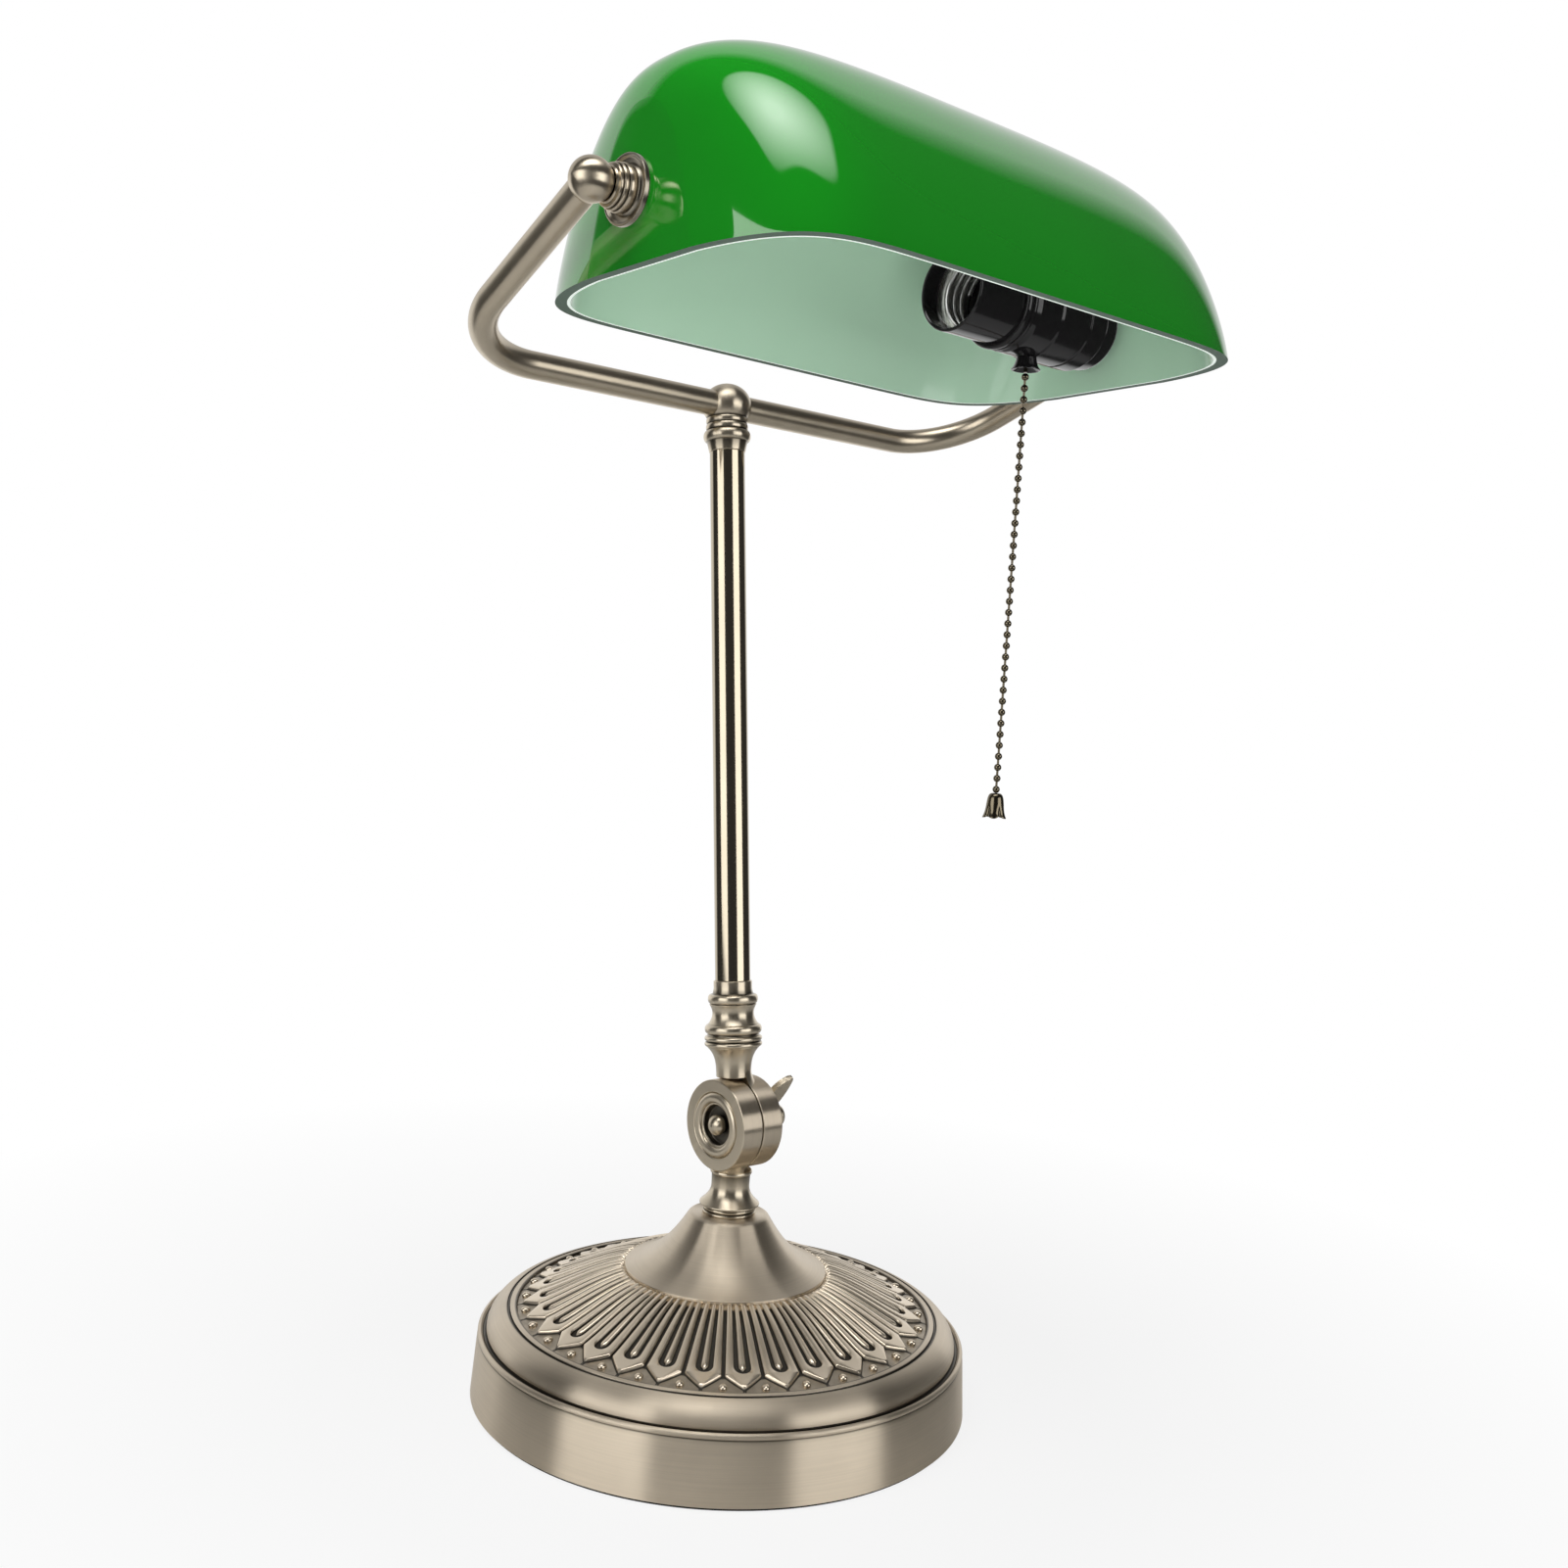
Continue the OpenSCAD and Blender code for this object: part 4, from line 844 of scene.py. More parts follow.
def wing_nut():
    """Hub with two broad fins that sweep out and away to rounded tips."""
    root, tip, r = HUB_R - 2, HUB_T + 2.5, WING_REACH
    front = curve((root, 0.6), (0.6*r, 0.6), (0.9*r, 1.8), (r, tip), 18)
    back = curve((r - 0.5, tip + 0.3), (0.8*r, tip + 0.4), (0.55*r, tip + 0.3),
                 (root, HUB_T - 0.3), 18)
    bm = bmesh.new()
    place = AT_KNUCKLE @ shift_x(HUB_X) @ about("X", WING_TURN)
    hub = [(BOLT_HOLE_R, 0), (HUB_R, 0), (HUB_R - 0.8, HUB_T), (BOLT_HOLE_R, HUB_T)]
    turn(bm, eased_loop(hub, 0.6), place @ ALONG_X, closed=True, segments=SMALL_SEGMENTS)
    outline = [(x, y) for y, x in front + back]
    for side in (0, 180):
        upright = place @ about("X", side) @ about("X", 90)
        plate(bm, outline, -FIN_HALF_T, FIN_HALF_T, 0.5, upright)
    return new_piece("wing_nut", bm)


def cap_nut():
    points = [(0, CAP_L - 2.0), (BOLT_R, CAP_L - 2.0), (BOLT_R, 0), (CAP_R, 0)]
    points += arc((0, CAP_L - 0.6*CAP_R), CAP_R, 0.6*CAP_R, 0, 90, 20)
    return turned("domed_cap_nut", eased(points), AT_KNUCKLE @ shift_x(CAP_X) @ ALONG_X,
                  segments=SMALL_SEGMENTS)


def upper_neck():
    """Rear disc, and the turned neck above it with its beads and the spigot for the column."""
    low, foot, r = DISC_R + 0.3, NECK_FOOT_R, NECK_R
    neck = [(0, low), (foot, low)]
    neck += curve((foot, low + 1.5), (foot + 0.1, low + 6.2), (r, low + 8.7), (r + 2.7, low + 11.4))
    neck += bead(r + 2.7, 0.9, low + 11.6, low + 13.5) + bead(r + 2.7, 0.9, low + 13.7, low + 15.6)
    neck += bead(r + 2.3, 1.2, low + 16.4, low + 19.8)
    neck += curve((r + 2.2, low + 20), (r + 0.7, low + 21.9), (r - 0.3, low + 24.5),
                  (r + 1.7, low + 27.4))
    neck += bead(r + 1.2, 1, low + 27.7, low + 31.1)
    neck += [(r + 0.4, low + 31.3), (r, low + 33.2), (r, NECK_L)]
    neck += [(SPIGOT_R, NECK_L), (SPIGOT_R, NECK_L + SPIGOT_L), (0, NECK_L + SPIGOT_L)]
    face = [(BOLT_HOLE_R, 0), (DISC_R, 0), (DISC_R, DISC_T), (BOLT_HOLE_R, DISC_T)]
    bm = bmesh.new()
    turn(bm, eased(neck, 0.25), ON_COLUMN)
    turn(bm, eased_loop(face, 0.5), ON_COLUMN @ shift_x(DISC_IN) @ ALONG_X, closed=True, coat=1)
    coat_disc(bm, ON_COLUMN)
    flare(bm, foot, 1, DISC_IN, DISC_OUT - 0.6, ON_COLUMN)
    return new_piece("upper_neck_piece", bm)


# Column, tee and yoke
def column():
    top, bore_r = COLUMN_L - TEE_L, TUBE_R - TUBE_WALL
    points = [(bore_r, NECK_L), (TUBE_R, NECK_L), (TUBE_R, top), (bore_r, top)]
    return turned("column", eased(points, 0.15), ON_COLUMN, closed=True)


def tee():
    r, foot = TEE_R, -TEE_L - SPIGOT_L
    points = [(0, foot), (SPIGOT_R, foot), (SPIGOT_R, -TEE_L)]
    points += [(TUBE_R + 0.2, -TEE_L), (TUBE_R + 1, -14.2)] + bead(r, 1.2, -14, -10)
    points += bead(r - 0.3, 0.5, -9.8, -7.4) + bead(r - 0.4, 0.5, -7.2, -4.9)
    points += arc((0, 0), TEE_DOME_R, 0.88*TEE_DOME_R, -34, 90, 36)
    return turned("domed_tee", eased(points, 0.25), ON_COLUMN @ shift_z(COLUMN_L))


def yoke():
    """Bent tube: the corner points of its path are rounded and swept with a round section."""
    forward, middle = Vector((0, -YOKE_REACH, YOKE_RISE)), Vector((0, TEE_Y, TEE_Z))
    splay = BALL_X - YOKE_HALF
    short = 1 - YOKE_SHORT/math.hypot(splay, forward.length)
    end = (Vector((splay, 0, 0)) + forward)*short
    points = [(-YOKE_HALF - end.x, end.y, end.z), (-YOKE_HALF, 0, 0),
              (YOKE_HALF, 0, 0), (YOKE_HALF + end.x, end.y, end.z)]
    path = bpy.data.meshes.new("yoke_path")
    path.from_pydata([tuple((middle + Vector(p))*MM) for p in points],
                     [(0, 1), (1, 2), (2, 3)], [])
    recipe = Recipe("bent_tube", Bend_radius=BEND_R*MM, Tube_radius=BAR_R*MM, Bend_steps=40,
                    Round_steps=64, Finish=smooth_brass)
    given, make = recipe.given, recipe.make
    line = make("MeshToCurve", {"Mesh": given["Geometry"]})
    bent = make("FilletCurve", {"Curve": line, "Count": given["Bend_steps"],
                                "Radius": given["Bend_radius"]}, mode="POLY")
    section = make("CurvePrimitiveCircle",
                   {"Resolution": given["Round_steps"], "Radius": given["Tube_radius"]})
    swept = make("CurveToMesh", {"Curve": bent, "Profile Curve": section, "Fill Caps": True})
    return face_outwards(recipe.run("bent_yoke", swept, path))


def ball(side):
    points = [(0, -5.4), (4.1, -5.4)] + arc((0, 0), BALL_R, BALL_R, -52.6, 90, 40)
    return turned(f"ball_{side}_piece", eased(points, 0.2), end_place(side, BALL_X))


def collar(side):
    l, r = COLLAR_L, COLLAR_R
    points = [(NIPPLE_R, 0), (r - 0.5, 0)] + bead(r - 0.5, 0.5, 0.2, 2.5)
    points += [(r - 0.75, 2.6), (r - 0.75, 2.8)] + bead(r - 0.75, 0.45, 2.9, 4.2)
    points += [(r - 1.1, 4.3), (r - 1.1, 4.45)] + bead(r - 1.2, 0.4, 4.5, 5.5)
    points += [(r - 1.9, 5.7), (r - 2.2, l), (NIPPLE_R, l)]
    return turned(f"collar_{side}_piece", eased_loop(points, 0.15), end_place(side, COLLAR_END),
                  closed=True)


def flange(side):
    """Dished flange with a raised bright rim, and the bush that lines the hole in the glass."""
    wall = 2*GLASS_T
    face = wall + FLANGE_T
    points = [(NIPPLE_R, 0), (BUSH_R, 0), (BUSH_R, wall), (FLANGE_R, wall), (FLANGE_R, face)]
    points += [(FLANGE_R - 0.7, face), (FLANGE_R - 1.5, face - 0.9), (COLLAR_R + 0.5, face - 1.1)]
    points += [(COLLAR_R - 0.2, face - 0.1), (NIPPLE_R, face - 0.1)]
    return turned(f"flange_{side}_piece", eased_loop(points, 0.3),
                  end_place(side, SHADE_HALF - wall), closed=True)


# Shade
def shade_sheet(stations=140, ribs=110, foot=16, cap_rows=10):
    """A closed double sheet laid out flat: X is the place along the shade, Y the place round the
    section and Z is 0 outside and 1 inside. Attributes say how a point closes an end round the
    pivot hole."""
    bm = bmesh.new()
    rise, fill, turn_by = (bm.verts.layers.float.new(name) for name in ("rise", "fill", "turn_by"))

    def spot(s, w, layer, up=1.0, share=0.0, angle=0.0):
        vert = bm.verts.new((s, w, layer))
        vert[rise], vert[fill], vert[turn_by] = up, share, angle
        return vert

    along = [math.sin(math.radians(-90 + 180*i/stations)) for i in range(stations + 1)]
    sheets = [[[spot(s, j/ribs, layer) for j in range(ribs + 1)] for s in along]
              for layer in (0, 1)]
    for rows in sheets:
        for a, b in zip(rows, rows[1:]):
            for j in range(ribs):
                bm.faces.new([a[j], b[j], b[j + 1], a[j + 1]])
    outer, inner = sheets
    for a, b, c, d in zip(outer, outer[1:], inner, inner[1:]):
        bm.faces.new([a[0], c[0], d[0], b[0]])
        bm.faces.new([a[-1], b[-1], d[-1], c[-1]])
    angles = [math.pi - math.pi*(1.06*j/ribs - 0.03) for j in range(ribs + 1)]
    angles += [-math.pi*(k + 0.5)/foot*0.94 - 0.03*math.pi for k in range(foot)]
    count = len(angles)
    for end in (0, -1):
        holes, feet = [], []
        for layer, rows in enumerate(sheets):
            under = [spot(along[end], 1 - k/(foot + 1), layer, 0.0) for k in range(1, foot + 1)]
            loop = rows[end] + under
            feet.append([rows[end][-1]] + under + [rows[end][0]])
            rings = [loop]
            for n in range(1, cap_rows + 1):
                share = 1 - (1 - n/cap_rows)**1.5
                rings.append([spot(vert.co.x, vert.co.y, layer, vert[rise], share, angle)
                              for vert, angle in zip(loop, angles)])
            for a, b in zip(rings, rings[1:]):
                for k in range(count):
                    bm.faces.new([a[k], a[(k + 1) % count], b[(k + 1) % count], b[k]])
            holes.append(rings[-1])
        for k in range(count):
            following = (k + 1) % count
            bm.faces.new([holes[0][k], holes[0][following], holes[1][following], holes[1][k]])
        for k in range(foot + 1):
            bm.faces.new([feet[0][k], feet[0][k + 1], feet[1][k + 1], feet[1][k]])
    return mesh_of("shade_sheet", bm)


def shade_layer(name, outside, inside, material, edge):
    """The shade's rule: half-superellipse sections that taper along the lamp, with a round hole in
    each end and a ground edge below."""
    recipe = Recipe("shade_" + name, Half_length=SHADE_HALF, Half_width=SHADE_HALF_W,
                    Height=SHADE_H, Outer_inset=outside, Inner_inset=inside, End_flat=0.992,
                    Plan_power=9.8, Plan_root=2.54, Crown_power=3.6, Crown_root=8.0,
                    Side_bow=2/2.35, Crown_bow=2/1.24, Hole_radius=GLASS_HOLE_R,
                    Hole_back=PIVOT_BACK, Hole_up=PIVOT_UP, Finish=material)
    given, make, calc, times = recipe.given, recipe.make, recipe.math, recipe.times

    def named(attribute):
        return make("InputNamedAttribute", {"Name": attribute})

    def taper(power, root):
        return calc("POWER", calc("SUBTRACT", 1.0, calc("POWER", reach, power)),
                    calc("DIVIDE", 1.0, root))

    def bowed(value, power):
        return times(calc("SIGN", value), calc("POWER", calc("ABSOLUTE", value), power))

    def moved(value, share, goal):
        return calc("ADD", value, times(share, calc("SUBTRACT", goal, value)))

    place = recipe.add("ShaderNodeSeparateXYZ", {0: make("InputPosition")}).outputs
    s, around, layer = place[0], times(place[1], math.pi), place[2]
    inset = moved(given["Outer_inset"], layer, given["Inner_inset"])
    reach = times(calc("ABSOLUTE", s), given["End_flat"])
    half = times(calc("SUBTRACT", given["Half_width"], inset),
                 taper(given["Plan_power"], given["Plan_root"]))
    crown = times(calc("SUBTRACT", given["Height"], inset),
                  taper(given["Crown_power"], given["Crown_root"]))
    x = times(s, calc("SUBTRACT", given["Half_length"], inset))
    y = times(times(half, -1.0), bowed(calc("COSINE", around), given["Side_bow"]))
    lift = recipe.larger(calc("SINE", around), 0.0)
    z = times(times(crown, bowed(lift, given["Crown_bow"])), named("rise"))
    angle, share = named("turn_by"), named("fill")
    hole_y = calc("ADD", given["Hole_back"], times(given["Hole_radius"], calc("COSINE", angle)))
    hole_z = calc("ADD", given["Hole_up"], times(given["Hole_radius"], calc("SINE", angle)))
    spot = recipe.vector(x, moved(y, share, hole_y), moved(z, share, hole_z))
    shaped = make("SetPosition", {"Geometry": given["Geometry"], "Position": spot})
    joined = make("MergeByDistance", {"Geometry": shaped, "Distance": 0.001})
    piece = recipe.run(name, joined, shade_sheet())
    piece.data.materials.append(edge)
    for face in piece.data.polygons:
        if all(abs(piece.data.vertices[v].co.z) < 0.02 for v in face.vertices):
            face.material_index = 1
    piece.data.transform(TO_METRES @ IN_SHADE)
    piece.visible_glossy = False
    return face_outwards(piece, 50)


# Socket
def socket_cap():
    r, l = HOUSING_R, CAP_END_L
    points = [(NIPPLE_R, 0), (r - 1, 0), (r - 1.6, 0.7*l), (r - 4, l), (NIPPLE_R, l)]
    return turned("socket_end_cap", eased_loop(points, 0.8), on_pivot(HOUSING_X + HOUSING_L),
                  closed=True)


def socket_housing():
    """Switch housing: a chamfered front, a fine step and two turned lines, hollow inside."""
    r, l, wall = HOUSING_R, HOUSING_L, HOUSING_WALL
    points = [(HOUSING_BORE_R, 0), (r - 1.1, 0), (r - 0.4, 2), (r - 0.4, 0.34*l), (r, 0.36*l)]
    points += [(r, 0.72*l), (r - 0.35, 0.73*l), (r - 0.35, 0.755*l), (r, 0.765*l)]
    points += [(r, l - 1), (r - 1, l), (HOUSING_END_R, l), (HOUSING_END_R, l - wall)]
    points += [(r - wall, l - wall), (r - wall, wall), (HOUSING_BORE_R, wall)]
    return turned("switch_housing", eased_loop(points, 0.4), on_pivot(HOUSING_X), closed=True)


def socket_ring():
    r, l = HOUSING_R - 0.3, CLAMP_L
    points = [(SLEEVE_R, 0), (r - 0.9, 0)] + bead(r - 0.9, 0.9, 0.2, 3.1)
    points += [(r - 1.1, 3.3), (r - 1.1, 3.6)] + bead(r - 1.0, 0.8, 3.7, l - 0.1) + [(SLEEVE_R, l)]
    return turned("clamp_ring", eased_loop(points, 0.2), on_pivot(HOUSING_X - l), closed=True)


def socket_sleeve():
    l = HOUSING_X - MOUTH_X
    points = [(SLEEVE_IN_R, 0.4), (SLEEVE_IN_R + 0.5, 0), (SLEEVE_R - 0.3, 0), (SLEEVE_R, 0.4),
              (SLEEVE_R, l), (SLEEVE_IN_R, l)]
    return turned("socket_mouth", eased_loop(points, 0.3), on_pivot(MOUTH_X), closed=True)


def screw_shell():
    """Thin sleeve with rounded thread turns wound along its inner wall."""
    outer_r = SHELL_R + SHELL_T
    wall = [(SHELL_R, 0), (outer_r, 0), (outer_r, SHELL_L), (SHELL_R, SHELL_L)]
    sleeve = turned("shell_wall", wall, on_pivot(SHELL_X), closed=True, segments=SMALL_SEGMENTS)
    place = on_pivot(SHELL_X + THREAD_FROM).translation*MM
    recipe = Recipe("thread_turns", Turns=THREAD_TURNS, Pitch=THREAD_PITCH*MM,
                    Thread_radius=THREAD_R*MM, Wire=THREAD_WIRE*MM, Round_steps=72,
                    Place=tuple(place), Finish=shell_metal)
    given, make = recipe.given, recipe.make
    coil = make("CurveSpiral", {
        "Resolution": given["Round_steps"], "Rotations": given["Turns"],
        "Start Radius": given["Thread_radius"], "End Radius": given["Thread_radius"],
        "Height": recipe.times(given["Turns"], given["Pitch"])})
    section = make("CurvePrimitiveCircle", {"Resolution": 16, "Radius": given["Wire"]})
    wire = make("CurveToMesh", {"Curve": coil, "Profile Curve": section, "Fill Caps": True})
    laid = make("Transform", {"Geometry": wire, "Translation": given["Place"],
                              "Rotation": (0.0, math.pi/2, 0.0)})
    both = recipe.join(given["Geometry"], laid)
    start = sleeve.data
    bpy.data.objects.remove(sleeve)
    return face_outwards(recipe.run("screw_shell_piece", both, start))


# Pull chain
def chain_guide():
    cone = curve((5.4, 0.4), (4.6, 1.0), (4.0, 2.6), (3.7, GUIDE_H - 2.4), 20)
    points = [(1.1, 2.6), (3.2, 1.0), (5.0, 0), (5.4, 0)] + cone
    points += [(2.6, GUIDE_H - 2.2), (2.6, GUIDE_H), (1.1, GUIDE_H)]
    return turned("flared_guide", eased_loop(points, 0.2), down_chain(GUIDE_END), closed=True,
                  segments=SMALL_SEGMENTS)


def bead_string(name, count, top_depth, first_link):
    """Beads strung on short links, one every pitch, down from the top point."""
    top = down_chain(top_depth).translation*MM
    recipe = Recipe(name + "_recipe", Beads=count, Links=count - 1 + first_link,
                    Pitch=BEAD_PITCH*MM, Bead_radius=BEAD_R_CHAIN*MM, Link_radius=LINK_R*MM,
                    Top=tuple(top), Finish=dark_brass)
    given, make, times = recipe.given, recipe.make, recipe.times
    step = recipe.vector(0.0, 0.0, times(given["Pitch"], -1.0))
    spots = make("MeshLine",
                 {"Count": given["Beads"], "Start Location": given["Top"], "Offset": step})
    shape = make("MeshUVSphere", {"Segments": 20, "Rings": 12, "Radius": given["Bead_radius"]})
    strung = [make("InstanceOnPoints", {"Points": spots, "Instance": shape})]
    if first_link or count > 1:
        half = recipe.vector(0.0, 0.0, times(given["Pitch"], -0.5 + first_link))
        first = recipe.vectors("ADD", given["Top"], half)
        middles = make("MeshLine",
                       {"Count": given["Links"], "Start Location": first, "Offset": step})
        pin = make("MeshCylinder", {"Vertices": 10, "Radius": given["Link_radius"],
                                    "Depth": times(given["Pitch"], 0.8)})
        strung.append(make("InstanceOnPoints", {"Points": middles, "Instance": pin}))
    start = bpy.data.meshes.new(name + "_start")
    return face_outwards(recipe.run(name, recipe.join(*strung), start))


def chain_bell():
    """Small bell of curled petals at the end of the chain."""
    r, h, lobes = FINIAL_R, FINIAL_H, 5
    curl_from, pull_in, lift = 0.62*h, 0.3, 0.16*h
    outer = curve((0.3*r, h), (0.85*r, 0.96*h), (0.55*r, 0.42*h), (0.98*r, 0.02*h), 30)
    inner = curve((0.15*r, 0.6*h), (0.6*r, 0.7*h), (0.4*r, 0.3*h), (r - 0.9, 0.04*h), 20)
    points = [(0, h), (0.2*r, h)] + outer + [(0.97*r, 0.0), (r - 0.75, 0.0)]
    points += inner[::-1] + [(0, 0.6*h)]
    bm = bmesh.new()
    turn(bm, points, segments=120)
    for vert in bm.verts:
        low = smoothstep((curl_from - vert.co.z)/curl_from)
        lobe = abs(math.cos(0.5*lobes*math.atan2(vert.co.y, vert.co.x)))**0.6
        pull = 1 - pull_in*low*(1 - lobe)
        vert.co.x *= pull
        vert.co.y *= pull
        vert.co.z += lift*low*(1 - lobe)
    depth = TOP_BEAD + (BEADS - 1)*BEAD_PITCH + BEAD_R_CHAIN + h
    return new_piece("chain_bell", bm, down_chain(depth), 60)


# Each piece in its node's place
settle(base_cover(), "base_shell", "satin_brass", satin_brass, painted_shade_brass)
settle(ornament_ring(), "lotus_ring", "dark_brass")
settle(bell(), "bell_cone", "satin_brass", satin_brass)
settle(cord_gland(), "cord_gland", "rubber", black_felt)
settle(lower_neck(), "lower_neck", "satin_brass",
       turned_brass, faced_brass, satin_brass, painted_shade_brass)
settle(knuckle_bolt(), "knuckle_bolt", "satin_brass", turned_brass)
settle(wing_nut(), "thumb_nut", "satin_brass", turned_brass)
settle(cap_nut(), "cap_nut", "satin_brass", turned_brass)
settle(upper_neck(), "upper_neck", "satin_brass", turned_brass, faced_brass, satin_brass)
settle(column(), "column_tube", "polished_brass", polished_brass)
settle(tee(), "tee_fitting", "satin_brass", turned_brass)
settle(yoke(), "yoke_tube", "satin_brass")
for side in ("left", "right"):
    settle(ball(side), f"ball_{side}", "satin_brass", turned_brass)
    settle(collar(side), f"collar_{side}", "satin_brass", turned_brass)
    settle(flange(side), f"flange_{side}", "satin_brass", aged_brass)
settle(shade_layer("green_shade", 0.0, CASING_T, green_glass, ground_glass),
       "shade_glass", "green_glass")
settle(shade_layer("opal_lining", CASING_T, 2*GLASS_T, opal_glass, glowing_opal_edge),
       "shade_lining", "opal_glass")
settle(socket_cap(), "socket_cap", "black_plastic", black_plastic)
settle(socket_housing(), "socket_housing", "black_plastic", black_plastic)
settle(socket_ring(), "socket_ring", "black_plastic", black_plastic)
settle(socket_sleeve(), "socket_sleeve", "black_plastic", black_plastic)
settle(screw_shell(), "screw_shell", "shell_metal")
settle(chain_guide(), "chain_guide", "black_plastic", black_plastic)
settle(bead_string("top_bead", 1, TOP_BEAD, 0), "chain_top_bead", "dark_brass")
settle(bead_string("bead_chain", BEADS - 1, TOP_BEAD + BEAD_PITCH, 1), "pull_chain", "dark_brass")
settle(chain_bell(), "chain_finial", "dark_brass", dark_brass)

# Inner pieces keep their solids and take a finish
KEPT = {
    black_felt: ("felt_pad", "friction_washer", "glass_washer_left", "glass_washer_right"),
    grey_iron: ("base_weight",),
    plain_steel: ("stem_rod", "stem_nut", "stem_washer", "stem_sleeve"),
    dark_brass: ("nipple_left", "nipple_right", "lock_nut", "switch_plunger"),
    black_plastic: ("socket_insulator",),
    smooth_brass: ("centre_contact",),
}
for material, nodes in KEPT.items():
    for node in nodes:
        mesh = frame["nodes"][node].data
        mesh.materials.clear()
        mesh.materials.append(material)

# Stage, lights and camera; lengths in metres
CAMERA_AT, YAW, PITCH, ROLL = Vector((-0.40103, -0.46651, 0.26807)), 0.7275, -0.0570, 0.0630
FILM_W, FOCAL_PIXELS, PHOTO_PIXELS = 36, 1684.2, 1601
TABLE_R, TABLE_TONE, PLAIN_REACH, PLAIN_NEAR, PLAIN_IN_GLOSS = 0.58, 0.6, (0.15, 0.45), 0.85, 0.05
WHITE_HEADING, WHITE_LIFT, WHITE_EDGE = YAW - 0.24, 0.3, (0.52, 0.66)
WHITE_FADE, WHITE_ABOVE, DIM, DIM_IN_GLOSS = (0.1, 0.7), 0.5, 0.1, 0.05
GLOW_REACH, GLOW_RANGE, CORNER_EDGE = (0.08, 0.56), (1.7, 0.25), (0.045, 0.0625)
WHITE = (1, 1, 1, 1)


def photo_camera():
    away = Vector((math.sin(YAW)*math.cos(PITCH), math.cos(YAW)*math.cos(PITCH), math.sin(PITCH)))
    right = Vector((math.cos(YAW), -math.sin(YAW), 0))
    up = right.cross(away)
    c, s = math.cos(ROLL), math.sin(ROLL)
    axes = c*right + s*up, c*up - s*right, -away
    data = bpy.data.cameras.new("photo_camera")
    data.lens = FILM_W*FOCAL_PIXELS/PHOTO_PIXELS
    data.sensor_width, data.sensor_fit = FILM_W, "HORIZONTAL"
    data.clip_start, data.clip_end = 0.01, 50
    camera = in_scene("photo_camera", data)
    camera.matrix_world = Matrix.Translation(CAMERA_AT) @ Matrix(axes).transposed().to_4x4()
    bpy.context.scene.camera = camera


def table_white():
    """Pale table: white to the camera, to gloss and through glass, with the lamp's shadow left in
    it. The share of plain white grows outwards, so that the table runs out into the background."""
    made = bpy.data.materials.new("table_white")
    made.use_nodes = True
    made.node_tree.nodes.clear()
    tree = Tree(made.node_tree)
    path = tree.add("ShaderNodeLightPath").outputs
    mirrored = tree.larger(path["Is Glossy Ray"], path["Is Transmission Ray"])
    place = tree.add("ShaderNodeTexCoord").outputs["Object"]
    out_from_lamp = tree.vectors("LENGTH", place, result="Value")
    plain = tree.spread(out_from_lamp, *PLAIN_REACH, PLAIN_NEAR, 1.0)
    share = tree.larger(tree.times(path["Is Camera Ray"], plain),
                        tree.times(mirrored, PLAIN_IN_GLOSS))
    lit = tree.add("ShaderNodeBsdfDiffuse", {"Color": (TABLE_TONE, TABLE_TONE, TABLE_TONE, 1)})
    white = tree.add("ShaderNodeEmission", {"Color": WHITE, "Strength": 1.0})
    mix = tree.add("ShaderNodeMixShader", {0: share, 1: lit.outputs[0], 2: white.outputs[0]})
    end = tree.add("ShaderNodeOutputMaterial")
    tree.put(end.inputs[0], mix.outputs[0])
    return made


def pale_table():
    bm = bmesh.new()
    bmesh.ops.create_circle(bm, cap_ends=True, radius=TABLE_R, segments=96)
    table = in_scene("pale_table", mesh_of("pale_table", bm))
    table.data.materials.append(table_white())


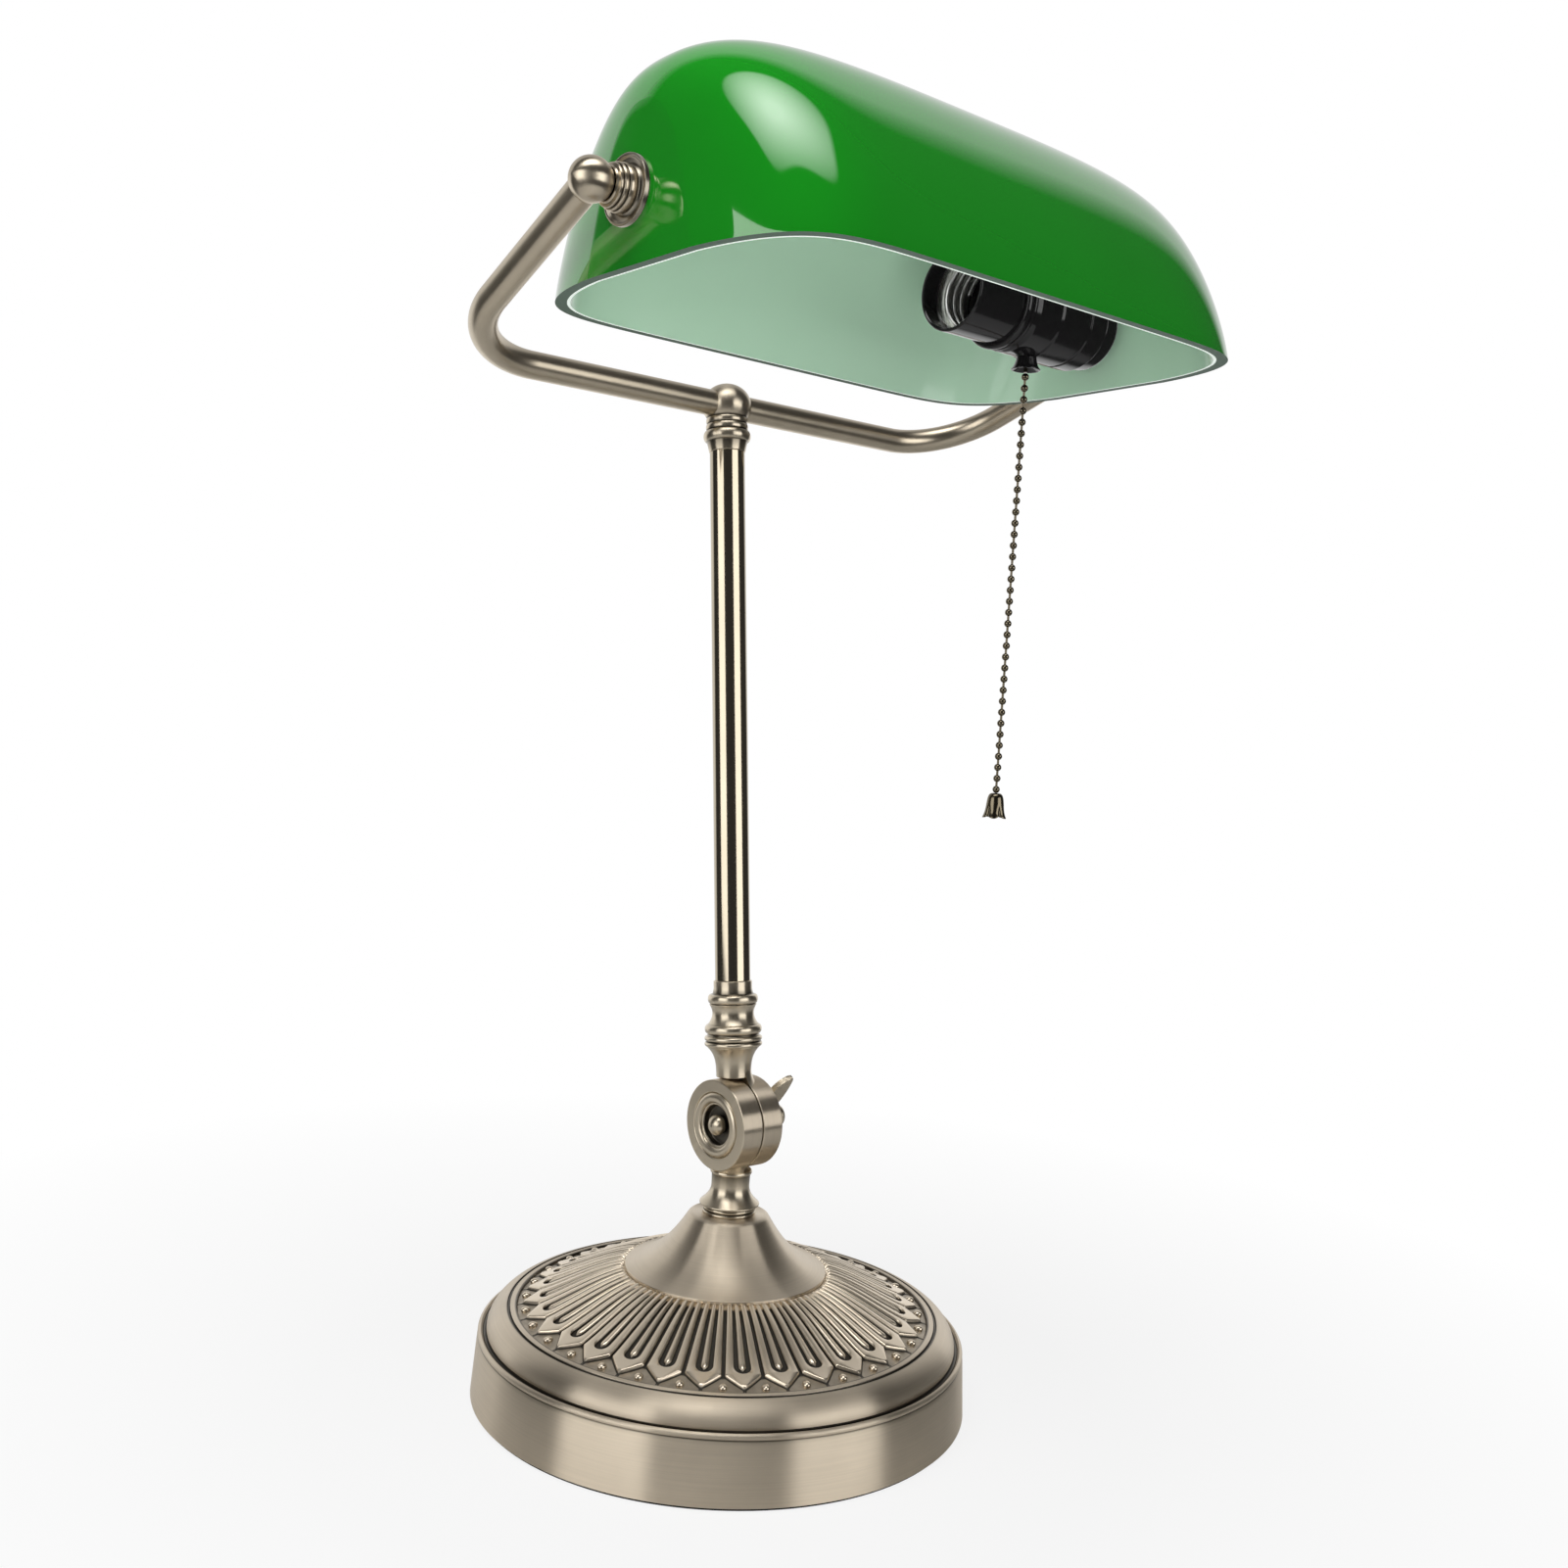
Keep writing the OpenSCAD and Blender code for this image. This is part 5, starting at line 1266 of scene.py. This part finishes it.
def studio_world():
    """White behind the lamp for the camera, for gloss and through glass; dim all round for the
    rest."""
    world = bpy.data.worlds.new("studio")
    world.use_nodes = True
    tree = Tree(world.node_tree)
    path = tree.add("ShaderNodeLightPath").outputs
    way = tree.add("ShaderNodeTexCoord").outputs["Generated"]
    heading = (math.sin(WHITE_HEADING), math.cos(WHITE_HEADING), 0.0)
    ahead = tree.vectors("DOT_PRODUCT", way, heading, "Value")
    height = tree.add("ShaderNodeSeparateXYZ", {0: way}).outputs["Z"]
    behind = tree.math("ADD", tree.times(height, WHITE_LIFT), ahead)
    white = tree.times(tree.spread(behind, *WHITE_EDGE),
                       tree.spread(height, *WHITE_FADE, 1.0, WHITE_ABOVE))
    mirrored = tree.larger(path["Is Glossy Ray"], path["Is Transmission Ray"])
    seen = tree.larger(path["Is Camera Ray"], tree.times(mirrored, white))
    dim = tree.blend(path["Is Glossy Ray"], shade_of(WHITE[:3], DIM),
                     shade_of(WHITE[:3], DIM_IN_GLOSS))
    tree.put(world.node_tree.nodes["Background"].inputs[0], tree.blend(seen, dim, WHITE))
    bpy.context.scene.world = world


def soft_glow(light):
    """The box is brightest in its middle, runs out towards its edges and has round corners."""
    light.use_nodes = True
    tree = Tree(light.node_tree)
    across = tree.add("ShaderNodeNewGeometry").outputs["Parametric"]
    from_middle = tree.vectors("ADD", across, (-0.5, -0.5, 0.0))
    away = tree.vectors("LENGTH", from_middle, result="Value")
    squared = tree.vectors("MULTIPLY", from_middle, from_middle)
    corner = tree.vectors("DOT_PRODUCT", squared, squared, "Value")
    glow = tree.times(tree.spread(away, *GLOW_REACH, *GLOW_RANGE),
                      tree.spread(corner, *CORNER_EDGE, 1.0, 0.0))
    tree.put(light.node_tree.nodes["Emission"].inputs["Strength"], glow)


def soft_box(name, at, facing, wide, tall, power, turn_by=0.0, mirrored=True, glow=False):
    """A studio box light that the camera doesn't see, and gloss only where it is mirrored."""
    light = bpy.data.lights.new(name, "AREA")
    light.shape, light.size, light.size_y, light.energy = "RECTANGLE", wide, tall, power
    if glow:
        soft_glow(light)
    lamp = in_scene(name, light)
    aim = Vector(facing).to_track_quat("-Z", "Y").to_matrix().to_4x4()
    lamp.matrix_world = Matrix.Translation(at) @ aim @ about("Z", turn_by)
    lamp.visible_camera = False
    lamp.visible_glossy = mirrored


photo_camera()
pale_table()
studio_world()
soft_box("left_box", at=(-1.87, -0.03, 0.6), facing=(1, 0, 0), wide=1.43, tall=1.2, power=12.0)
soft_box("right_box", at=(0.48, -1.94, 0.6), facing=(-0.24, 0.97, 0), wide=1.55, tall=1.2,
         power=13.0)
soft_box("top_box", at=(-0.53, -0.37, 1.73), facing=(0, 0, -1), wide=1.95, tall=0.94, power=16.0,
         turn_by=-19, glow=True)
soft_box("top_fill", at=(-0.2, -0.02, 0.85), facing=(0.15, 0, -1), wide=0.4, tall=0.4, power=2.6,
         mirrored=False)
soft_box("low_fill", at=(-0.45, -0.6, 0.03), facing=(0.45, 0.5, 0.4), wide=0.6, tall=0.4,
         power=2.5, mirrored=False)
bpy.context.scene.view_settings.view_transform = "Standard"
